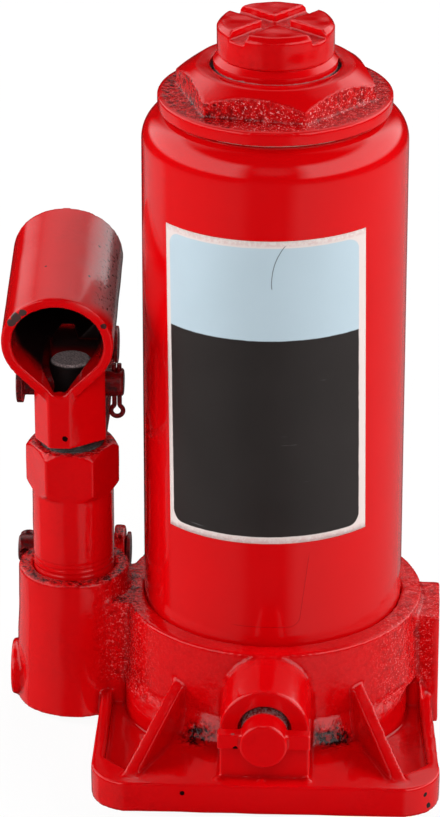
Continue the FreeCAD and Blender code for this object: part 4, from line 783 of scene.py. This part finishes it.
def socketZones(points, normals):
    # dark inside beyond the mouth, bare steel and painted shade, and grey dusty grit with a painted sheen on
    # the tube's right flank
    x, y, z = points.T
    along = (points - socket["mouth"]) @ socket["inward"]
    axis = socket["mouth"] + along[:, None] * socket["inward"]
    facing = ((axis - points) * normals).sum(axis=1)
    ragged = socket["redRagged"] * lumps(points, socket["redSize"], socket["redSeed"])
    tube = softStep(along + ragged, *socket["redDepth"]) * softStep(facing, *socket["facing"])
    tube *= 1 - softStep(along, *socket["boreEnd"])
    endWall = softStep(-normals @ socket["inward"], *socket["endFacing"])
    endWall *= softStep(along, *socket["endWall"])
    middleX, middleY = socket["bracket"]
    inward = (middleX - x) * normals[:, 0] + (middleY - y) * normals[:, 1]
    room = softStep(inward, *socket["facing"]) * (1 - softStep(z, *socket["roof"]))
    room *= softStep(y, *socket["roomFrom"])
    # grey dust and painted sheen on the tube's right flank
    ragged = socket["sheenDustRagged"] * lumps(points, socket["dustSize"], socket["sheenDustSeed"])
    dust = softStep(x + ragged, socket["sheenDustFrom"], socket["sheenDustTo"]) * softStep(z, *socket["sheenDustHeight"])
    dust *= softStep(along - socket["sheenDustLean"] * (x - socket["sheenDustTo"]), *socket["sheenDustDepth"])
    dust *= softStep(-facing, *socket["sheenDustOut"])
    cast = np.maximum(socket["sheenDustCast"] * dust, patches(points, *socket["patch"]))
    return {"cast": cast, "dust": dust, "inside": np.maximum.reduce([tube, endWall, room])}


valve = {
    "voxel": 0.32, "rounds": 3, "wave": 0.04, "waveSize": 4.0, "pebble": 0.05, "patch": (0.05, 0.12, 6, 11),
    "height": 24.6, "pitch": 1.3, "threadDepth": 0.42, "threadEnds": (-66.4, -58.0), "threadFade": 0.6,
    "bareFrom": (-66.8, -65.6), "bareRagged": 0.5, "bareSize": 2, "bareSeed": 4,
    "marks": [((-8.0, -71.4, 22.6), 1.3, chipBlack), ((-8.8, -71.0, 27.0), 0.9, (0.30, 0.06, 0.06))],
}


def valveThread(points, normals):
    x, y, z = points.T
    return -threadCut(y, np.arctan2(z - valve["height"], x) / (2 * math.pi), valve)


def valveZones(points, normals):
    ragged = valve["bareRagged"] * lumps(points, valve["bareSize"], valve["bareSeed"])
    thread = softStep(points[:, 1] + ragged, *valve["bareFrom"])
    return {"cast": patches(points, *valve["patch"]), "bare": thread}


linkBar = {
    "voxel": 0.5, "rounds": 4, "wave": 0.08, "waveSize": 7.0, "pebble": 0.10, "patch": (0.06, 0.16, 8, 11),
    "darkFrom": (98.0, 106.0), "forward": (0.0, 0.4),
}
pins = {"voxel": 0.3, "rounds": 3, "wave": 0.03, "waveSize": 3.0, "pebble": 0.0}


def linkZones(points, normals):
    # painted shade where the upper end faces into the bracket
    inside = softStep(points[:, 2], *linkBar["darkFrom"]) * softStep(-normals[:, 1], *linkBar["forward"])
    return {"cast": patches(points, *linkBar["patch"]), "inside": inside}


screwLow, screwHigh = [np.array(corner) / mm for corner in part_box("extension_screw")]
saddle = {
    "voxel": 0.36, "rounds": 4, "wave": 0.14, "waveSize": 3.6, "pebble": 0.16, "patch": (0.10, 0.22, 6, 11),
    "height": 9.7, "cutRoom": 0.3, "grooveUp": (0.7, 0.95), "landFrom": (-1.2, -0.6), "grooveCast": 0.5,
}
screw = {
    "radius": 12.0, "root": 10.5, "pitch": 5.0, "flank": (0.30, 0.62), "crestRoom": 0.02, "overlap": 0.4,
    "stop": 2.0, "stopHeight": 2.4, "groove": 10.6, "footFade": 1.0, "topFade": (-2.5, -0.8), "topShare": 0.6,
    "around": 96, "steps": 420,
}


def saddleZones(points, normals):
    # grit in the grooves, smooth lands
    land = softStep(points[:, 2] - screwHigh[2], *saddle["landFrom"])
    groove = softStep(normals[:, 2], *saddle["grooveUp"]) * (1 - land)
    return {"cast": np.maximum(saddle["grooveCast"] * groove, patches(points, *saddle["patch"]))}


def threadMesh():
    # the long screw below the saddle: a rounded trapezoid thread with a plain groove for its stop ring
    low, high = screwLow[2], screwHigh[2] - saddle["height"] + screw["overlap"]
    steps, count = screw["steps"], screw["around"]
    heights = np.linspace(low, high, steps)
    turns = np.arange(count) / count
    phase = (heights[:, None] / screw["pitch"] - turns[None, :]) % 1
    flank = softStep(np.abs(phase - 0.5) * 2, *screw["flank"])
    radius = screw["root"] + (screw["radius"] - screw["root"] - screw["crestRoom"]) * flank
    runOut = 1 - screw["topShare"] * softStep(heights - high, *screw["topFade"])
    ends = np.minimum(softStep(heights, low, low + screw["footFade"]), runOut)
    radius = np.minimum(radius, screw["groove"] + (screw["radius"] - screw["groove"]) * ends[:, None])
    stop = (heights > low + screw["stop"]) & (heights < low + screw["stop"] + screw["stopHeight"])
    radius[stop] = screw["groove"]
    angles = turns * 2 * math.pi
    level = np.repeat(heights[:, None], count, 1)
    rings = np.stack([radius * np.cos(angles), radius * np.sin(angles), level], axis=2)
    faces = []
    for k in range(steps - 1):
        for j in range(count):
            after = (j + 1) % count
            faces.append((k * count + j, k * count + after, (k + 1) * count + after, (k + 1) * count + j))
    faces.append(tuple(reversed(range(count))))
    faces.append(tuple(range((steps - 1) * count, steps * count)))
    mesh = bpy.data.meshes.new("thread")
    mesh.from_pydata((rings.reshape(-1, 3) * mm).tolist(), [], faces)
    mesh.validate()
    return mesh


def cutBelow(mesh, height):
    form = bmesh.new()
    form.from_mesh(mesh)
    everything = form.verts[:] + form.edges[:] + form.faces[:]
    cut = bmesh.ops.bisect_plane(form, geom=everything, clear_inner=True,
                                 plane_co=(0, 0, height * mm), plane_no=(0, 0, 1))
    rim = [e for e in cut["geom_cut"] if isinstance(e, bmesh.types.BMEdge)]
    bmesh.ops.holes_fill(form, edges=rim)
    form.to_mesh(mesh)
    form.free()
    mesh.shade_smooth()


def extensionScrew(headFinish, threadFinish):
    head = paintedSkin("saddleHead", "extension_screw", saddle, headFinish, saddleZones)
    cutBelow(head.data, screwHigh[2] - saddle["height"] - saddle["cutRoom"])
    thread = newPiece("screwThread", threadMesh(), threadFinish, body="screw")
    thread.parent = head


ram = {
    "brush": (0.05, 0.05, 1.0), "lineSize": 0.4, "lineShare": 0.5, "lineDepth": 0.008, "cloudSize": 12,
    "cloudShare": 0.4, "dark": (0.30, 0.30, 0.30), "pale": (0.62, 0.62, 0.61), "metallic": 0.55,
    "rim": 0.6, "rimEdge": (-0.3, 0.3), "rimSize": 1.6, "rimRagged": 0.8, "peelSize": 1.5, "peelDepth": 0.02,
    "roughness": 0.30, "roughSpread": 0.14, "roughMiddle": 0.4, "paintSmooth": 0.14,
    "gloss": {"Coat Weight": 0.3, "Coat Roughness": 0.06},
}


def ramFinish():
    # ground and oiled steel, with the red overspray on the rim that stands out of the nut at rest
    finish = newFinish("ramSteel")
    place = finish.place()
    height = finish.axis("Z", place) / mm
    stretch = finish.node("Mapping", None, {"Vector": place, "Scale": ram["brush"]})
    lines = finish.noise(ram["lineSize"], 3, where=stretch)
    cloud = finish.noise(ram["cloudSize"], 3)
    ragged = (finish.noise(ram["rimSize"], 2) - noiseMiddle) * ram["rimRagged"]
    sprayed = (height + ragged - (nutTop - ram["rim"])).between(*ram["rimEdge"])
    steel = finish.blend(lines * ram["lineShare"] + cloud * ram["cloudShare"], ram["dark"], ram["pale"])
    red = finish.blend(cloud, paint["red"], paint["bright"])
    normal = finish.bump(lines * (1 - sprayed), ram["lineDepth"])
    normal = finish.bump(finish.noise(ram["peelSize"], 2) * sprayed, ram["peelDepth"], normal)
    uneven = ram["roughSpread"] * (lines - ram["roughMiddle"])
    rough = ram["roughness"] + uneven - ram["paintSmooth"] * sprayed
    return finish.surface(finish.blend(sprayed, steel, red), Metallic=ram["metallic"] * (1 - sprayed),
                          Normal=normal, Roughness=rough.clipped(), **ram["gloss"])


plunger = {
    "top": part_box("pump_plunger")[1][2] / mm, "speckSize": 0.5, "speckRough": 0.7, "depth": 0.05,
    "disc": (0.29, 0.23, 0.23), "fleck": (0.10, 0.08, 0.08),
    "discSpeck": (0.42, 0.6), "discEdge": (0.35, 0.8),
    "shadeAndOil": (0.0025, 0.0015, 0.0015), "shadeAndOilTo": (14.0, 22.0),
    "steel": (0.34, 0.33, 0.32), "steelDark": 0.7, "steelSpeck": (0.3, 0.7), "metallic": 0.9,
    "roughness": 0.6, "groundSmooth": 0.3, "roughSpread": 0.2,
}


def plungerFinish():
    # a gritty grey end, black below it as painted shade and old oil, ground steel further down
    finish = newFinish("plungerSteel")
    down = plunger["top"] - finish.axis("Z") / mm
    speck = finish.noise(plunger["speckSize"], 3, plunger["speckRough"])
    disc = finish.blend(speck.between(*plunger["discSpeck"]), plunger["fleck"], plunger["disc"])
    ground = down.between(*plunger["shadeAndOilTo"])
    steel = finish.shades(speck.between(*plunger["steelSpeck"]), plunger["steel"], plunger["steelDark"], 1)
    side = finish.blend(ground, plunger["shadeAndOil"], steel)
    tone = finish.blend(down.between(*plunger["discEdge"]), disc, side)
    uneven = plunger["roughSpread"] * (speck - noiseMiddle)
    rough = plunger["roughness"] - plunger["groundSmooth"] * ground + uneven
    return finish.surface(tone, Metallic=ground * plunger["metallic"], Roughness=rough.clipped(),
                          Normal=finish.bump(speck, plunger["depth"]))


stock = {  # colour, roughness and the stretch of the tool lines, or the colours alone
    "turned": ((0.48, 0.48, 0.47), 0.26, (0.04, 0.04, 1.0)),
    "ball": ((0.78, 0.78, 0.78), 0.08, (1.0, 1.0, 1.0)),
    "spring": ((0.36, 0.35, 0.34), 0.3, (1.0, 0.1, 0.1)),
    "copper": ((0.72, 0.36, 0.24), 0.25, (0.05, 0.05, 1.0)),
    "pump": (0.30, 0.30, 0.30), "rubber": (0.02, 0.02, 0.02),
    "nylon": ((0.74, 0.72, 0.66), (0.62, 0.58, 0.48)),
}


def makePieces():
    pressed = redEnamel("pressedEnamel")
    pinSteel = sprayedSteel("pinSteel")
    turned = bareSteel("turnedSteel", *stock["turned"])
    tankShell()
    labelSheet()
    castEnamel = redEnamel("castEnamel", base["marks"])
    paintedSkin("baseSkin", "base_casting", base, castEnamel, baseZones, baseDrips)
    paintedSkin("nutSkin", "top_nut", nut, redEnamel("nutEnamel"), nutZones)
    paintedSkin("barrelSkin", "pump_barrel", barrel, pressed, barrelZones, barrelShape)
    socketEnamel = redEnamel("socketEnamel", socket["marks"], hollow=True, dustAndSheen=True)
    paintedSkin("socketSkin", "handle_socket", socket, socketEnamel, socketZones)
    valveEnamel = redEnamel("valveEnamel", valve["marks"], bare=True)
    paintedSkin("valveSkin", "release_valve", valve, valveEnamel, valveZones, valveThread)
    paintedSkin("linkSkin", "link", linkBar, redEnamel("linkEnamel", hollow=True), linkZones)
    for pinName in ("plunger_pin", "link_pin", "anchor_pin"):
        paintedSkin(pinName.replace("_p", "P") + "Skin", pinName, pins, pinSteel)
    extensionScrew(redEnamel("saddleEnamel"), turned)
    print("pieces made")
    return {
        "red_cast": pressed, "red_enamel": pressed, "ram_steel": turned, "pin_steel": pinSteel,
        "pump_steel": speckledSteel("pumpSteel", stock["pump"]),
        "ball_steel": bareSteel("ballSteel", *stock["ball"]),
        "spring_steel": bareSteel("springSteel", *stock["spring"]),
        "seal_rubber": softRubber("sealRubber", stock["rubber"]),
        "white_nylon": moulded("whiteNylon", *stock["nylon"]),
        "copper": bareSteel("softCopper", *stock["copper"]),
    }


def dressKeptNodes(finishes):
    # every CAD piece that stays gets the finish of its slot, or one of its own
    own = {"ram": ramFinish(), "pump_plunger": plungerFinish()}
    for name, node in nodes.items():
        node.data.materials.clear()
        node.data.materials.append(own.get(name) or finishes[slotOf[name]])
    print("finishes on")


view = {
    "azimuth": 2.64, "elevation": 24.64, "distance": 1.28286, "target": (-0.01562, -0.00072, 0.09613),
    "focalPixels": 4400, "pixelsHigh": 817, "sensor": 24.0, "clip": (0.05, 20),
}


def towards(azimuth, elevation):  # degrees from the front, to the right and up
    turn, rise = math.radians(azimuth), math.radians(elevation)
    return Vector((math.sin(turn) * math.cos(rise), -math.cos(turn) * math.cos(rise), math.sin(rise)))


def aimed(name, data, target, away, distance):
    piece = bpy.data.objects.new(name, data)
    piece.location = Vector(target) + away * distance
    piece.rotation_euler = (-away).to_track_quat("-Z", "Y").to_euler()
    bpy.context.scene.collection.objects.link(piece)
    return piece


def addCamera():
    lens = bpy.data.cameras.new("camera")
    lens.sensor_fit = "VERTICAL"
    lens.sensor_height = view["sensor"]
    lens.lens = view["focalPixels"] / view["pixelsHigh"] * view["sensor"]
    lens.clip_start, lens.clip_end = view["clip"]
    away = towards(view["azimuth"], view["elevation"])
    bpy.context.scene.camera = aimed("camera", lens, view["target"], away, view["distance"])


studio = {
    "floorSize": 4.0, "floor": (0.84, 0.84, 0.84), "veil": 0.93, "ambient": (0.05, 0.05, 0.05),
    "middle": (0, 0, 0.10),
    "lamps": {  # azimuth from the front, elevation, distance and size in metres, power
        "leftBox": (-98, 20, 1.2, 0.42, 13.4), "rightBox": (98, 25, 1.2, 0.6, 14.5),
        "frontFill": (0, 32, 1.2, 0.6, 9.0), "backFill": (180, 36, 1.2, 0.6, 6.0),
    },
    "panels": {  # what gloss mirrors: azimuth from and to, sine of elevation from and to, tone
        "leftBox": (-144, -27, 0.04, 0.72, 1.35), "rightBox": (27, 151, 0.04, 0.72, 1.55),
        "leftFloor": (-106, -24, -0.76, -0.30, 0.14), "rightFloor": (18, 168, -0.76, -0.30, 0.29),
        "farLeft": (-152, -106, -0.76, -0.30, 0.34),
    },
    "panelEdge": (9.0, 0.07), "darkTone": 0.01,
    "backSpread": (0.05, 0.6), "backRise": (0.25, 0.72), "backTone": 0.75,
}


def addLamps():
    for name, (azimuth, elevation, distance, size, power) in studio["lamps"].items():
        lamp = bpy.data.lights.new(name, "AREA")
        lamp.size = size
        lamp.energy = power
        piece = aimed(name, lamp, studio["middle"], towards(azimuth, elevation), distance)
        piece.visible_camera = False
        piece.visible_glossy = False


def addFloor():
    # pale floor that keeps the shadow; what gloss sees below the horizon is in the world
    half = studio["floorSize"]
    mesh = bpy.data.meshes.new("floor")
    corners = [(-half, -half, 0), (half, -half, 0), (half, half, 0), (-half, half, 0)]
    mesh.from_pydata(corners, [], [(0, 1, 2, 3)])
    floor = bpy.data.objects.new("floor", mesh)
    floor.visible_glossy = False
    bpy.context.scene.collection.objects.link(floor)
    finish = newFinish("paleFloor")
    camera = finish.node("LightPath", output="Is Camera Ray")
    seen = (camera * studio["veil"]).most(finish.node("LightPath", output="Is Transmission Ray"))
    glow = finish.node("Emission", None, {"Color": (1, 1, 1, 1)})
    pale = finish.node("BsdfDiffuse", None, {"Color": (*studio["floor"], 1)})
    mixed = finish.node("MixShader", None, {0: seen, 1: pale, 2: glow})
    finish.node("OutputMaterial", None, {"Surface": mixed})
    mesh.materials.append(finish.owner)


def addWorld():
    # white for the camera, dim for diffuse light, soft boxes and a darker floor in the gloss
    world = bpy.data.worlds.new("studio")
    bpy.context.scene.world = world
    finish = Finish(world)
    facing = finish.node("TexCoord", output="Generated")
    turn = finish.turn(facing) * (180 / math.pi)
    high = finish.axis("Z", facing)
    soft, softHigh = studio["panelEdge"]
    behind = finish.axis("Y", facing).between(*studio["backSpread"]) * high.between(*studio["backRise"])
    tone = behind * studio["backTone"] + studio["darkTone"]
    for start, end, low, top, level in studio["panels"].values():
        across = turn.between(start - soft, start + soft) * (1 - turn.between(end - soft, end + soft))
        up = high.between(low - softHigh, low + softHigh) * (1 - high.between(top - softHigh, top + softHigh))
        tone = tone.most(across * up * level)
    mirrored = finish.node("CombineColor", None, {"Red": tone, "Green": tone, "Blue": tone})
    mirror = finish.node("Background", None, {"Color": mirrored})
    dim = finish.node("Background", None, {"Color": (*studio["ambient"], 1)})
    white = finish.node("Background", None, {"Color": (1, 1, 1, 1)})
    seen = finish.node("LightPath", output="Is Camera Ray")
    seen = seen.most(finish.node("LightPath", output="Is Transmission Ray"))
    glossy = finish.node("LightPath", output="Is Glossy Ray")
    lit = finish.node("MixShader", None, {0: glossy, 1: dim, 2: mirror})
    finish.node("OutputWorld", None, {"Surface": finish.node("MixShader", None, {0: seen, 1: lit, 2: white})})


dressKeptNodes(makePieces())
addCamera()
addLamps()
addFloor()
addWorld()
print("studio set")
